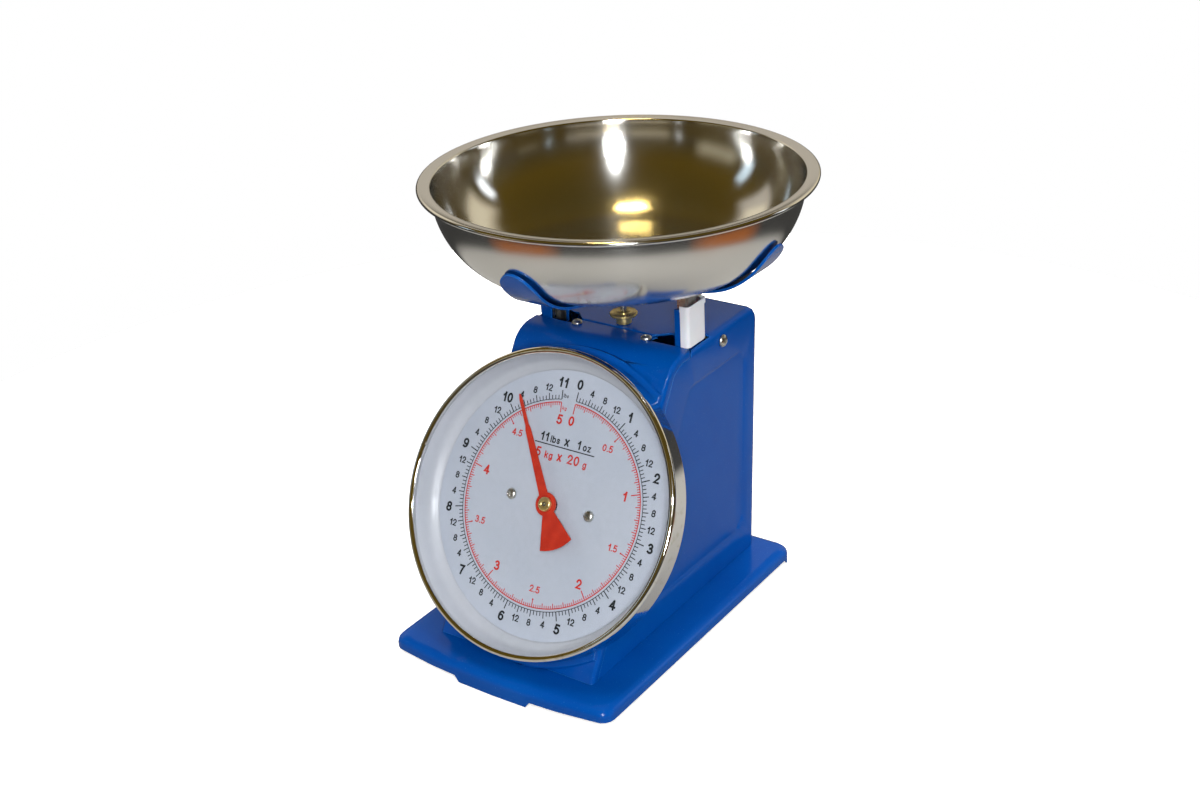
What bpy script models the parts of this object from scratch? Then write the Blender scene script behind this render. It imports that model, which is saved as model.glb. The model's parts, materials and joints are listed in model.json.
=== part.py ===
"""Mechanical kitchen scale: a round dial on a wedge-shaped housing, two posts and a bowl.

+X is to the right of someone who reads the dial, +Y is away from them and +Z is up. The
origin is on the table, under the middle of the object's box.
"""

import math

import bmesh
import bpy
from mathutils import Matrix, Vector

MM = 0.001
GAP = 0.3 * MM
SHEET = 1.2 * MM

# Base plate
BASE_TOP = 12 * MM
BASE_RIM = 4.5 * MM
BASE_HALF_WIDTH = 77.3 * MM
BASE_FRONT = -129 * MM
BASE_BACK = 83 * MM
BASE_CORNER = 8 * MM
BASE_BOW = 5 * MM
TAB_HALF_WIDTH = 24 * MM

# Housing: a wedge with a leaning front
HOUSING_HALF_WIDTH = 55 * MM
HOUSING_BOTTOM = BASE_TOP + GAP
HOUSING_TOP = 175.5 * MM
HOUSING_BACK = 73 * MM
BACK_LEAN = 7 * MM
LEAN = math.radians(30)
FRONT_FOOT_Y = -110.5 * MM
FRONT_CREST_Y = FRONT_FOOT_Y + (HOUSING_TOP - BASE_TOP) * math.tan(LEAN)
CREST_RADIUS = 20 * MM
BACK_RADIUS = 9 * MM
SIDE_RADIUS = 4 * MM
RETURN_DEPTH = 5 * MM
SCREW_FLANGE_Y = 8.5 * MM
SLOT_FLANGE_Y = 2.4 * MM
SLOT_INNER_X = 26 * MM
SIDE_SCREW = (37.5 * MM, 167.5 * MM)
ABOVE_TOP = 200 * MM
STUD_RADIUS = 2 * MM
STUD_TOP = 187.5 * MM

# Dial: its frame stands on the front plane of the bezel, with z towards the reader
DIAL_CENTRE = Vector((0, -81.2 * MM, 101 * MM))
PANEL_DEPTH = -19.1 * MM
BEZEL_RADIUS = 90.2 * MM
BEZEL_DEPTH = 15 * MM
FACE_RADIUS = 79 * MM
FACE_DEPTH = -16.8 * MM
BOSS_RADIUS = 92.5 * MM
FACE_SCREW_X = 27.5 * MM
POINTER_DEPTH = -12.3 * MM
REST_ANGLE = math.radians(32)
RACK_DEPTH = -30 * MM
PIN_ALONG = 39 * MM

# Platform, its travel and the gear that turns it into a turn of the pointer
TRAVEL = 20 * MM
FULL_TURN = math.radians(383)
AXIS_Y = 17 * MM
PLATE_TOP = 214.2 * MM
PLATE_THICK = 1.5 * MM
PLATE_UNDER = PLATE_TOP - PLATE_THICK - 0.5 * MM
POST_FRONT = 4.2 * MM
POST_DEPTH = 18 * MM
POST_INNER_X = 43.7 * MM
POST_OUTER_X = 52.4 * MM
POST_BOTTOM = 72 * MM
POST_TOP = 197.5 * MM
POST_STEP = 1 * MM
BRACKET_SCREW_Y = 17.9 * MM
BRACKET_SCREW_Z = 204 * MM
CARRIAGE_Z = 77 * MM
LINK_PIN_Y = 15 * MM
LINK_PIN_Z = CARRIAGE_Z - 10 * MM
LINK_PIVOT_Y = LINK_PIN_Y + 38 * MM
LINK_PIVOT_Z = LINK_PIN_Z - TRAVEL / 2
LINK_ROD_RADIUS = 1.6 * MM
TEETH = 10
RACK_TRAVEL = TRAVEL / math.cos(LEAN)
PITCH_RADIUS = RACK_TRAVEL / FULL_TURN
TOOTH_PITCH = 2 * math.pi * PITCH_RADIUS / TEETH
ADDENDUM = 0.5 * MM
DEDENDUM = 0.9 * MM
RACK_OUTER_X = PITCH_RADIUS + DEDENDUM + 2.6 * MM

# Bowl: a quarter ellipse from a flat floor up to a flat rim
BOWL_FLOOR = PLATE_TOP + GAP
BOWL_FLOOR_RADIUS = 60 * MM
BOWL_WALL_RADIUS = 107.5 * MM
BOWL_WALL_TOP = 267 * MM
BOWL_RADIUS = 115 * MM
BOWL_SHEET = 0.8 * MM
EAR_GAP = 1.3 * MM
EAR_START = 45 * MM
EAR_END = 115.5 * MM
EAR_HALF_WIDTH = 11.5 * MM

BLUE = (0.0, 0.06, 0.38)
STEEL = (0.62, 0.61, 0.58)
ZINC = (0.5, 0.5, 0.48)
BRASS = (0.55, 0.4, 0.12)
WHITE = (0.78, 0.78, 0.8)
BLACK = (0.02, 0.02, 0.02)
RED = (0.6, 0.03, 0.01)

for old in list(bpy.data.objects):
    bpy.data.objects.remove(old, do_unlink=True)

PARTS = bpy.data.collections.new("kitchen_scale")
CUTTERS = bpy.data.collections.new("cutters")
for group in (PARTS, CUTTERS):
    bpy.context.scene.collection.children.link(group)


# Materials and placing


def material(name, colour, roughness, metallic=0.0, transmission=0.0):
    made = bpy.data.materials.get(name)
    if made:
        return made
    made = bpy.data.materials.new(name)
    made.use_nodes = True
    shader = made.node_tree.nodes["Principled BSDF"]
    shader.inputs["Base Color"].default_value = (*colour, 1)
    shader.inputs["Roughness"].default_value = roughness
    shader.inputs["Metallic"].default_value = metallic
    shader.inputs["Transmission Weight"].default_value = transmission
    return made


def paint():
    return material("blue_paint", BLUE, 0.25)


def stainless():
    return material("stainless_steel", STEEL, 0.12, 1)


def chrome():
    return material("chrome", (0.75, 0.74, 0.7), 0.08, 1)


def zinc():
    return material("zinc_plated_steel", ZINC, 0.35, 1)


def spring_steel():
    return material("spring_steel", (0.35, 0.35, 0.36), 0.3, 1)


def brass():
    return material("brass", BRASS, 0.3, 1)


def white_plastic():
    return material("white_plastic", WHITE, 0.4)


def white_enamel():
    return material("white_enamel", WHITE, 0.3)


def printed_face():
    return material("printed_face", (0.75, 0.77, 0.85), 0.45)


def red_paint():
    return material("red_paint", RED, 0.4)


def rubber():
    return material("rubber", BLACK, 0.7)


def clear_plastic():
    return material("clear_plastic", (0.95, 0.95, 0.95), 0.05, 0, 1)


def empty(name, location, tilt=0.0):
    frame = bpy.data.objects.new(name, None)
    frame.location = location
    frame.rotation_euler.x = tilt
    PARTS.objects.link(frame)
    return frame


def place(name, mesh, surface, parent=None, location=(0, 0, 0), smooth=True):
    """An object of this mesh. Without a surface it is a cutter."""
    made = bpy.data.objects.new(name, mesh)
    made.location = location
    made.parent = parent
    if surface:
        mesh.materials.append(surface)
        PARTS.objects.link(made)
    else:
        made.hide_render = True
        made.display_type = "WIRE"
        CUTTERS.objects.link(made)
    if smooth:
        mesh.shade_smooth()
        mesh.set_sharp_from_angle(angle=math.radians(30))
    return made


# Outlines


def arc(centre, radius, start, end, steps):
    """Points of an arc, with the angles in degrees."""
    angles = [math.radians(start + (end - start) * i / steps) for i in range(steps + 1)]
    return [(centre[0] + radius * math.cos(a), centre[1] + radius * math.sin(a)) for a in angles]


def rounded(corners, radius, steps=4):
    """The closed outline through these corners, each rounded to the same radius."""
    points = []
    count = len(corners)
    for i in range(count):
        before = Vector(corners[i - 1])
        corner = Vector(corners[i])
        after = Vector(corners[(i + 1) % count])
        back = (before - corner).normalized()
        ahead = (after - corner).normalized()
        half = back.angle(ahead) / 2
        reach = radius / math.tan(half)
        start = corner + back * reach
        end = corner + ahead * reach
        centre = corner + (back + ahead).normalized() * radius / math.sin(half)
        for step in range(steps + 1):
            spoke = (start - centre).slerp(end - centre, step / steps).normalized()
            points.append(tuple(centre + spoke * radius))
    return points


def rectangle(x0, y0, x1, y1):
    return [(x0, y0), (x1, y0), (x1, y1), (x0, y1)]


def grown(points, distance):
    """A closed anticlockwise outline moved outwards by a distance."""
    moved = []
    count = len(points)
    for i in range(count):
        before = Vector(points[i - 1])
        here = Vector(points[i])
        after = Vector(points[(i + 1) % count])
        first = (here - before).normalized()
        second = (after - here).normalized()
        normal = Vector((first.y + second.y, -first.x - second.x)).normalized()
        stretch = max(normal.dot(Vector((first.y, -first.x))), 0.3)
        moved.append(tuple(here + normal * distance / stretch))
    return moved


# Solids

ALONG_X = Matrix(((0, 0, 1), (1, 0, 0), (0, 1, 0)))
ALONG_Z = Matrix.Identity(3)


def slab_mesh(name, loops, start, end, axes):
    """A flat outline, with holes after the first loop, filled and extruded from start to end."""
    curve = bpy.data.curves.new(name, "CURVE")
    curve.dimensions = "2D"
    curve.fill_mode = "BOTH"
    curve.extrude = abs(end - start) / 2
    for loop in loops:
        spline = curve.splines.new("POLY")
        spline.points.add(len(loop) - 1)
        for point, (x, y) in zip(spline.points, loop):
            point.co = (x, y, 0, 1)
        spline.use_cyclic_u = True
    holder = bpy.data.objects.new(name, curve)
    bpy.context.scene.collection.objects.link(holder)
    graph = bpy.context.evaluated_depsgraph_get()
    mesh = bpy.data.meshes.new_from_object(holder.evaluated_get(graph))
    bpy.data.objects.remove(holder)
    bpy.data.curves.remove(curve)
    shape = bmesh.new()
    shape.from_mesh(mesh)
    bmesh.ops.remove_doubles(shape, verts=shape.verts, dist=1e-6)
    bmesh.ops.translate(shape, vec=(0, 0, (start + end) / 2), verts=shape.verts)
    bmesh.ops.transform(shape, matrix=axes.to_4x4(), verts=shape.verts)
    bmesh.ops.recalc_face_normals(shape, faces=shape.faces)
    shape.to_mesh(mesh)
    shape.free()
    mesh.name = name
    return mesh


def slab(name, loops, start, end, surface, axes=ALONG_Z, parent=None):
    """A flat outline extruded from start to end, along Z or, with ALONG_X, from (y, z) along X."""
    return place(name, slab_mesh(name, loops, start, end, axes), surface, parent)


def box(name, low, high, surface, parent=None):
    shape = bmesh.new()
    size = Vector(high) - Vector(low)
    middle = (Vector(high) + Vector(low)) / 2
    bmesh.ops.create_cube(shape, size=1, matrix=Matrix.Translation(middle) @ Matrix.Diagonal((*size, 1)))
    mesh = bpy.data.meshes.new(name)
    shape.to_mesh(mesh)
    shape.free()
    return place(name, mesh, surface, parent)


def side_box(name, side, low, high, surface=None):
    """A box given for the right-hand side, mirrored to the left when side is -1."""
    near = side * low[0]
    far = side * high[0]
    return box(name, (min(near, far), *low[1:]), (max(near, far), *high[1:]), surface)


def rod(name, radius, start, end, surface, parent=None, sides=16):
    """A cylinder between two points."""
    start = Vector(start)
    end = Vector(end)
    turn = (end - start).to_track_quat("Z", "Y").to_matrix().to_4x4()
    shape = bmesh.new()
    bmesh.ops.create_cone(
        shape,
        cap_ends=True,
        segments=sides,
        radius1=radius,
        radius2=radius,
        depth=(end - start).length,
        matrix=Matrix.Translation((start + end) / 2) @ turn,
    )
    mesh = bpy.data.meshes.new(name)
    shape.to_mesh(mesh)
    shape.free()
    return place(name, mesh, surface, parent)


def turned(name, profile, surface, parent=None, location=(0, 0, 0), steps=64, ring=True):
    """A profile of (radius, height) turned about Z. It runs down its outer side."""
    shape = bmesh.new()
    points = [shape.verts.new((radius, 0, height)) for radius, height in profile]
    for first, second in zip(points, points[1:]):
        shape.edges.new((first, second))
    if ring:
        shape.edges.new((points[-1], points[0]))
    mesh = bpy.data.meshes.new(name)
    shape.to_mesh(mesh)
    shape.free()
    made = place(name, mesh, surface, parent, location, smooth=False)
    screw = made.modifiers.new("turn", "SCREW")
    screw.steps = steps
    screw.render_steps = steps
    screw.use_merge_vertices = True
    screw.merge_threshold = 1e-6
    screw.use_smooth_shade = True
    return made


def boolean(target, cutter, operation="DIFFERENCE"):
    step = target.modifiers.new(operation.lower(), "BOOLEAN")
    step.operation = operation
    step.object = cutter


def solidify(target, thickness, offset=-1):
    step = target.modifiers.new("sheet", "SOLIDIFY")
    step.thickness = thickness
    step.offset = offset
    step.use_even_offset = True


def sheet_grid(name, rows, surface, closed=False, parent=None):
    """An open surface through rows of points, each row with the same count."""
    shape = bmesh.new()
    grid = [[shape.verts.new(point) for point in row] for row in rows]
    for upper, lower in zip(grid, grid[1:]):
        across = list(zip(upper, upper[1:], lower[1:], lower))
        if closed:
            across.append((upper[-1], upper[0], lower[0], lower[-1]))
        for corners in across:
            shape.faces.new(corners)
    mesh = bpy.data.meshes.new(name)
    shape.to_mesh(mesh)
    shape.free()
    return place(name, mesh, surface, parent)


def pan_head_screw(name, frame, head_radius, shank_radius, length):
    """A cross-recessed pan head on z = 0 of its frame, with its shank below."""
    height = 0.62 * head_radius
    profile = [
        (0, height),
        (0.55 * head_radius, 0.95 * height),
        (head_radius, 0.35 * height),
        (head_radius, 0),
        (shank_radius, 0),
        (shank_radius, -length),
        (0, -length),
    ]
    screw = turned(name, profile, zinc(), steps=12, ring=False)
    screw.matrix_world = frame
    for turn in (0, 90):
        slot = box(
            f"{name}_recess_{turn}",
            (-0.55 * head_radius, -0.12 * head_radius, 0.45 * height),
            (0.55 * head_radius, 0.12 * head_radius, 2 * height),
            None,
        )
        slot.matrix_world = frame @ Matrix.Rotation(math.radians(turn), 4, "Z")
        boolean(screw, slot)
    return screw


def frame_at(point, direction):
    """The matrix whose z runs along a direction from a point."""
    turn = Vector(direction).to_track_quat("Z", "Y").to_matrix().to_4x4()
    return Matrix.Translation(point) @ turn


# Base


def base_outline(inset):
    """Anticlockwise outline of the base, whose front edge bows towards the reader."""
    half = BASE_HALF_WIDTH - inset
    front = BASE_FRONT + inset
    radius = BASE_CORNER
    back = BASE_BACK - inset
    points = arc((half - radius, front + radius), radius, -90, 0, 4)
    points += arc((half - radius, back - radius), radius, 0, 90, 4)
    points += arc((radius - half, back - radius), radius, 90, 180, 4)
    points += arc((radius - half, front + radius), radius, 180, 270, 4)
    for x in (-44, -TAB_HALF_WIDTH / MM - 3, -TAB_HALF_WIDTH / MM, 0):
        points.append((x * MM, front - BASE_BOW * (1 - (x * MM / half) ** 2)))
    for x in (TAB_HALF_WIDTH / MM, TAB_HALF_WIDTH / MM + 3, 44):
        points.append((x * MM, front - BASE_BOW * (1 - (x * MM / half) ** 2)))
    return points


def rim_height(x, y):
    """The flange is deeper at a tab in the middle of the front and at the two rear corners."""
    in_front_tab = y < BASE_FRONT and abs(x) <= TAB_HALF_WIDTH + GAP
    at_rear_corner = y > BASE_BACK - BASE_CORNER and abs(x) > BASE_HALF_WIDTH - BASE_CORNER
    return 0.6 * MM if in_front_tab or at_rear_corner else BASE_RIM


def base_plate():
    rows = []
    for inset, height in ((5, 0), (2, 0.6), (0.5, 2.2), (0, 4.2)):
        rows.append([(x, y, BASE_TOP - height * MM) for x, y in base_outline(inset * MM)])
    rows.append([(x, y, rim_height(x, y)) for x, y in base_outline(0)])
    plate = sheet_grid("base_plate", rows, paint(), closed=True)
    shape = bmesh.new()
    shape.from_mesh(plate.data)
    shape.faces.new([vert for vert in shape.verts if abs(vert.co.z - BASE_TOP) < 1e-7])
    bmesh.ops.recalc_face_normals(shape, faces=shape.faces)
    if max(shape.faces, key=lambda face: face.calc_center_median().z).normal.z < 0:
        bmesh.ops.reverse_faces(shape, faces=shape.faces)
    shape.to_mesh(plate.data)
    shape.free()
    solidify(plate, SHEET)
    for index, (x, y) in enumerate(base_screw_places()):
        hole = rod(f"base_hole_{index}", 2.2 * MM, (x, y, 5 * MM), (x, y, 20 * MM), None)
        boolean(plate, hole)


def base_screw_places():
    return [(x * MM, y * MM) for y in (-62, 58) for x in (-46, 46)]


def base_screws():
    for index, (x, y) in enumerate(base_screw_places(), 1):
        under = Vector((x, y, BASE_TOP - SHEET - GAP))
        pan_head_screw(f"base_screw_{index}", frame_at(under, (0, 0, -1)), 3.4 * MM, 1.7 * MM, 6 * MM)


def foot_pads():
    top = BASE_TOP - SHEET - GAP
    front = rounded(rectangle(-20 * MM, -129.5 * MM, 20 * MM, -121 * MM), 3 * MM)
    slab("foot_pad_front", [front], 0, top, rubber())
    for side, name in ((-1, "left"), (1, "right")):
        profile = [(0, top), (6 * MM, top), (6 * MM, 0.6 * MM), (5.4 * MM, 0), (0, 0)]
        spot = (side * 66 * MM, 64 * MM, 0)
        turned(f"foot_pad_rear_{name}", profile, rubber(), location=spot, steps=24, ring=False)


# Housing


def crest_points(depth):
    """(y, z) of the front's straight lean and rounded crest, at a depth behind its surface."""
    low_z = HOUSING_BOTTOM + 0.1 * MM
    low_y = FRONT_FOOT_Y + (low_z - BASE_TOP) * math.tan(LEAN) + depth / math.cos(LEAN)
    reach = CREST_RADIUS * math.tan((math.pi / 2 - LEAN) / 2)
    centre = (FRONT_CREST_Y + reach, HOUSING_TOP - CREST_RADIUS)
    start = 180 - math.degrees(LEAN)
    return [(low_y, low_z)] + arc(centre, CREST_RADIUS - depth, start, 90, 6)


def side_outline():
    """(y, z) outline of the housing behind the front panel, anticlockwise from the front foot."""
    front = crest_points(RETURN_DEPTH + 0.4 * MM)
    lip_y = SLOT_FLANGE_Y + 0.5 * MM
    top = [(lip_y, front[-1][1]), (lip_y, HOUSING_TOP)]
    centre = (HOUSING_BACK + BACK_LEAN - BACK_RADIUS, HOUSING_TOP - BACK_RADIUS)
    back = arc(centre, BACK_RADIUS, 90, 0, 4)
    return (front + top + back + [(HOUSING_BACK, HOUSING_BOTTOM)])[::-1]


def recess_outline():
    """(y, z) outline of the panel pressed into each side, parallel to the leaning front."""
    low = 31 * MM
    high = 151 * MM
    back_low = 60.5 * MM
    back_high = back_low + 5 * MM
    front_low = FRONT_FOOT_Y + (low - BASE_TOP) * math.tan(LEAN) + 32 * MM
    front_high = FRONT_FOOT_Y + (high - BASE_TOP) * math.tan(LEAN) + 32 * MM
    corners = [(front_low, low), (back_low, low), (back_high, high), (front_high, high)]
    return rounded(corners, 9 * MM)


def frustum(name, first, second, first_x, second_x):
    """A solid between two outlines of the same count of (y, z) points, at two values of x."""
    rows = [[(first_x, y, z) for y, z in first], [(second_x, y, z) for y, z in second]]
    made = sheet_grid(name, rows, None, closed=True)
    shape = bmesh.new()
    shape.from_mesh(made.data)
    bmesh.ops.holes_fill(shape, edges=shape.edges, sides=0)
    bmesh.ops.recalc_face_normals(shape, faces=shape.faces)
    shape.to_mesh(made.data)
    shape.free()
    return made


def housing_shell():
    half = HOUSING_HALF_WIDTH
    shell = slab("housing_shell", [side_outline()], -half, half, paint(), ALONG_X)
    round_sides(shell, half, HOUSING_TOP, HOUSING_BACK, SIDE_RADIUS)
    hollow_housing(shell)
    cut_housing(shell)


def round_sides(block, half, top, back, radius):
    """Round the edges where both sides meet the top and the back, as they are in bent sheet."""
    shape = bmesh.new()
    shape.from_mesh(block.data)
    bmesh.ops.dissolve_limit(shape, angle_limit=0.001, verts=shape.verts, edges=shape.edges)
    rims = []
    for edge in shape.edges:
        first, second = (vert.co for vert in edge.verts)
        on_side = abs(abs(first.x) - half) < 1e-6 and abs(first.x - second.x) < 1e-6
        high = top + 1e-5 > min(first.z, second.z) > top - BACK_RADIUS - 1e-5
        behind = min(first.y, second.y) > back - 1e-5
        past_slot = min(first.y, second.y) > SLOT_FLANGE_Y
        level = max(first.z, second.z) < top + 1e-5
        if on_side and past_slot and level and (high or behind):
            rims.append(edge)
    bmesh.ops.bevel(shape, geom=rims, offset=radius, segments=3, profile=0.5, affect="EDGES")
    shape.to_mesh(block.data)
    shape.free()
    block.data.shade_smooth()
    block.data.set_sharp_from_angle(angle=math.radians(30))


def hollow_housing(shell):
    """The room inside, open below and in front, and the side walls pressed in at the recess."""
    half = HOUSING_HALF_WIDTH - SHEET
    inner_back = HOUSING_BACK - SHEET
    inner_top = HOUSING_TOP - SHEET
    bend = BACK_RADIUS - SHEET
    room = [(-140 * MM, 0), (inner_back - 0.5 * MM, 0)]
    room += arc((inner_back + BACK_LEAN - bend, inner_top - bend), bend, 0, 90, 4)
    room += [(SCREW_FLANGE_Y + 2 * MM, inner_top), (SCREW_FLANGE_Y + 2 * MM, HOUSING_TOP + 9 * MM)]
    room += [(-140 * MM, HOUSING_TOP + 9 * MM)]
    hollow = slab("housing_room", [room], -half, half, None, ALONG_X)
    round_sides(hollow, half, inner_top, inner_back - 0.5 * MM, SIDE_RADIUS - SHEET)
    boolean(shell, hollow)
    recess = recess_outline()
    wide = grown(recess, 2.5 * MM)
    for side in (-1, 1):
        wall = HOUSING_HALF_WIDTH
        pad = frustum(
            f"recess_back_{side}",
            grown(recess, 3.5 * MM),
            grown(recess, 1 * MM),
            side * (wall - 0.5 * MM),
            side * (wall - 2.8 * MM),
        )
        boolean(shell, pad, "UNION")
        cut = frustum(f"recess_{side}", wide, recess, side * (wall + 0.6 * MM), side * (wall - 1.5 * MM))
        boolean(shell, cut)


def slot_outline(side):
    """(x, y) of the opening that a post rises through, in a corner of the housing's top."""
    inner = SLOT_INNER_X
    outer = HOUSING_HALF_WIDTH - SHEET - 0.1 * MM
    corners = [
        (inner, -20 * MM),
        (outer, -20 * MM),
        (outer, 25.6 * MM),
        (39 * MM, 25.6 * MM),
        (39 * MM, 17.5 * MM),
        (33 * MM, 17.5 * MM),
        (inner, 11 * MM),
    ]
    return [(side * x, y) for x, y in corners]


def cut_housing(shell):
    """Openings in the top, screw holes, and the tabs that the panel and base screws hold."""
    front_y = SCREW_FLANGE_Y + 0.5 * MM
    low = (-SLOT_INNER_X, -20 * MM, HOUSING_TOP - 9 * MM)
    high = (SLOT_INNER_X, front_y, ABOVE_TOP)
    boolean(shell, box("top_step", low, high, None))
    tab_top = HOUSING_TOP - SHEET - 0.6 * MM
    tab = box("panel_tab", (-32 * MM, -1 * MM, tab_top - 1 * MM), (32 * MM, 12 * MM, tab_top), None)
    riser = box(
        "tab_riser",
        (-24 * MM, front_y + 0.6 * MM, tab_top - 0.5 * MM),
        (24 * MM, 12.6 * MM, HOUSING_TOP - 0.6 * MM),
        None,
    )
    boolean(tab, riser, "UNION")
    boolean(shell, tab, "UNION")
    for x, y in panel_screw_places():
        boolean(shell, upright_hole(f"tab_hole_{x:.3f}", 2 * MM, x, y))
    for index, (x, y) in enumerate(base_screw_places()):
        low = (38 * MM, y - 7 * MM, HOUSING_BOTTOM)
        high = (HOUSING_HALF_WIDTH - 0.6 * MM, y + 7 * MM, HOUSING_BOTTOM + SHEET)
        lug = side_box(f"base_lug_{index}", math.copysign(1, x), low, high)
        boolean(shell, lug, "UNION")
        boolean(shell, rod(f"lug_hole_{index}", 2.2 * MM, (x, y, 0), (x, y, 20 * MM), None))
    boolean(shell, side_screw_hole("side_screw_hole"))
    boolean(shell, upright_hole("stud_hole", 2.6 * MM, 0, AXIS_Y))
    for side in (-1, 1):
        low = (49 * MM, LINK_PIVOT_Y - 5 * MM, LINK_PIVOT_Z - 5 * MM)
        high = (52.9 * MM, LINK_PIVOT_Y + 5 * MM, LINK_PIVOT_Z + 5 * MM)
        boolean(shell, side_box(f"link_lug_{side}", side, low, high), "UNION")
    ends = [(side * 52.2 * MM, LINK_PIVOT_Y, LINK_PIVOT_Z) for side in (-1, 1)]
    boolean(shell, rod("link_rod_hole", LINK_ROD_RADIUS + GAP, *ends, None))
    for side in (-1, 1):
        slot = slab(f"post_slot_{side}", [slot_outline(side)], HOUSING_TOP - 10.5 * MM, ABOVE_TOP, None)
        boolean(shell, slot)


def upright_hole(name, radius, x, y):
    """A cutter for a hole through the sheets at the top of the housing."""
    return rod(name, radius, (x, y, HOUSING_TOP - 15 * MM), (x, y, HOUSING_TOP + 15 * MM), None)


def side_screw_hole(name):
    """A cutter for the line of both side screws, from one side of the housing to the other."""
    return rod(name, 2.2 * MM, (-70 * MM, *SIDE_SCREW), (70 * MM, *SIDE_SCREW), None)


def front_panel():
    """A bent sheet: two side returns, a leaning front, a rounded crest and a screw flange."""
    stations = [(y, z, LEAN) for y, z in crest_points(0)]
    turn = (math.pi / 2 - LEAN) / (len(stations) - 2)
    stations = [(y, z, LEAN + turn * max(i - 1, 0)) for i, (y, z, _) in enumerate(stations)]
    stations.append((SCREW_FLANGE_Y, HOUSING_TOP, math.pi / 2))
    half = HOUSING_HALF_WIDTH
    bend = 2 * MM
    across = [(-half, RETURN_DEPTH)]
    across += [(x - half + bend, bend - z) for x, z in arc((0, 0), bend, 180, 90, 3)]
    across += [(half - bend - x, bend - z) for x, z in arc((0, 0), bend, 90, 180, 3)]
    across.append((half, RETURN_DEPTH))
    rows = []
    for y, z, lean in stations:
        inward = Vector((0, math.cos(lean), -math.sin(lean)))
        rows.append([Vector((x, y, z)) + inward * depth for x, depth in across])
    panel = sheet_grid("front_panel", rows, paint())
    shape = bmesh.new()
    shape.from_mesh(panel.data)
    bmesh.ops.recalc_face_normals(shape, faces=shape.faces)
    if max(shape.faces, key=lambda face: face.calc_area()).normal.y > 0:
        bmesh.ops.reverse_faces(shape, faces=shape.faces)
    shape.to_mesh(panel.data)
    shape.free()
    solidify(panel, SHEET)
    boolean(panel, dial_boss(), "UNION")
    past = HOUSING_HALF_WIDTH + 5 * MM
    foot_cut = box("panel_foot_cut", (-past, -140 * MM, 0), (past, -90 * MM, HOUSING_BOTTOM), None)
    boolean(panel, foot_cut)
    behind = PANEL_DEPTH - 5 * MM
    boolean(panel, rod("pinion_hole", 7 * MM, (0, 0, behind), (0, 0, 0), None, DIAL_FRAME, 24))
    for side in (-1, 1):
        low = (SLOT_INNER_X, SLOT_FLANGE_Y, 150 * MM)
        notch = side_box(f"panel_notch_{side}", side, low, (past, 20 * MM, ABOVE_TOP))
        boolean(panel, notch)
        x = side * FACE_SCREW_X
        hole = rod(f"face_screw_hole_{side}", 1.8 * MM, (x, 0, behind), (x, 0, 0), None, DIAL_FRAME)
        boolean(panel, hole)
    for x, y in panel_screw_places():
        boolean(panel, upright_hole(f"panel_hole_{x:.3f}", 2 * MM, x, y))


def dial_boss():
    """The low round step around the dial, clipped by the panel's sides."""
    top = -BEZEL_DEPTH - GAP
    root = PANEL_DEPTH - 0.6 * MM
    profile = [
        (BOSS_RADIUS, top),
        (BOSS_RADIUS + 1.2 * MM, top - 0.7 * MM),
        (BOSS_RADIUS + 1.8 * MM, root),
        (BOSS_RADIUS - 8 * MM, root),
        (BOSS_RADIUS - 8 * MM, top),
    ]
    ring = turned("dial_boss", profile, None, DIAL_FRAME, steps=72)
    edge = HOUSING_HALF_WIDTH - 1.1 * MM
    reach = 2 * BOSS_RADIUS
    clip = box("boss_clip", (-edge, -reach, -reach), (edge, reach, reach), None, DIAL_FRAME)
    boolean(ring, clip, "INTERSECT")
    return ring


def panel_screw_places():
    return [(side * 24.5 * MM, 3.2 * MM) for side in (-1, 1)]


def housing_screws():
    for side, name in ((-1, "left"), (1, "right")):
        x, y = panel_screw_places()[side > 0]
        on_top = frame_at((x, y, HOUSING_TOP + GAP), (0, 0, 1))
        pan_head_screw(f"panel_screw_{name}", on_top, 3.3 * MM, 1.6 * MM, 6 * MM)
        spot = (side * (HOUSING_HALF_WIDTH + GAP), *SIDE_SCREW)
        on_side = frame_at(spot, (side, 0, 0))
        pan_head_screw(f"side_screw_{name}", on_side, 3.8 * MM, 1.8 * MM, 7 * MM)


# Dial


def dial_case():
    """The white dish behind the face, whose lip is held under the bezel."""
    depth = FACE_DEPTH - 0.5 * MM
    wall = 0.8 * MM
    inside = [
        (FACE_RADIUS, depth),
        (FACE_RADIUS + 1 * MM, FACE_DEPTH + 0.7 * MM),
        (FACE_RADIUS + 4.5 * MM, FACE_DEPTH + 3.2 * MM),
        (FACE_RADIUS + 6.5 * MM, FACE_DEPTH + 7 * MM),
        (FACE_RADIUS + 8.6 * MM, -5 * MM),
    ]
    lip = [(BEZEL_RADIUS - 1.3 * MM, -5 * MM), (BEZEL_RADIUS - 1.3 * MM, -5.8 * MM)]
    outside = [(r + wall, max(h - 0.6 * MM, depth - wall)) for r, h in inside[1:-1]]
    shaft_hole = 5 * MM
    profile = [(shaft_hole, depth)] + inside + lip + outside[::-1]
    profile += [(FACE_RADIUS, depth - wall), (shaft_hole, depth - wall)]
    case = turned("dial_case", profile, white_enamel(), DIAL_FRAME, steps=56)
    for side in (-1, 1):
        x = side * FACE_SCREW_X
        hole = rod(f"case_hole_{side}", 1.8 * MM, (x, 0, -25 * MM), (x, 0, 0), None, DIAL_FRAME)
        boolean(case, hole)


def dial_face():
    hole = arc((0, 0), 5 * MM, 0, 345, 23)
    screws = [arc((side * FACE_SCREW_X, 0), 1.8 * MM, 0, 330, 11) for side in (-1, 1)]
    rim = arc((0, 0), FACE_RADIUS - GAP, 0, 355, 71)
    under = FACE_DEPTH - 0.2 * MM
    slab("dial_face", [rim, hole] + screws, under, FACE_DEPTH, printed_face(), parent=DIAL_FRAME)


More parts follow.
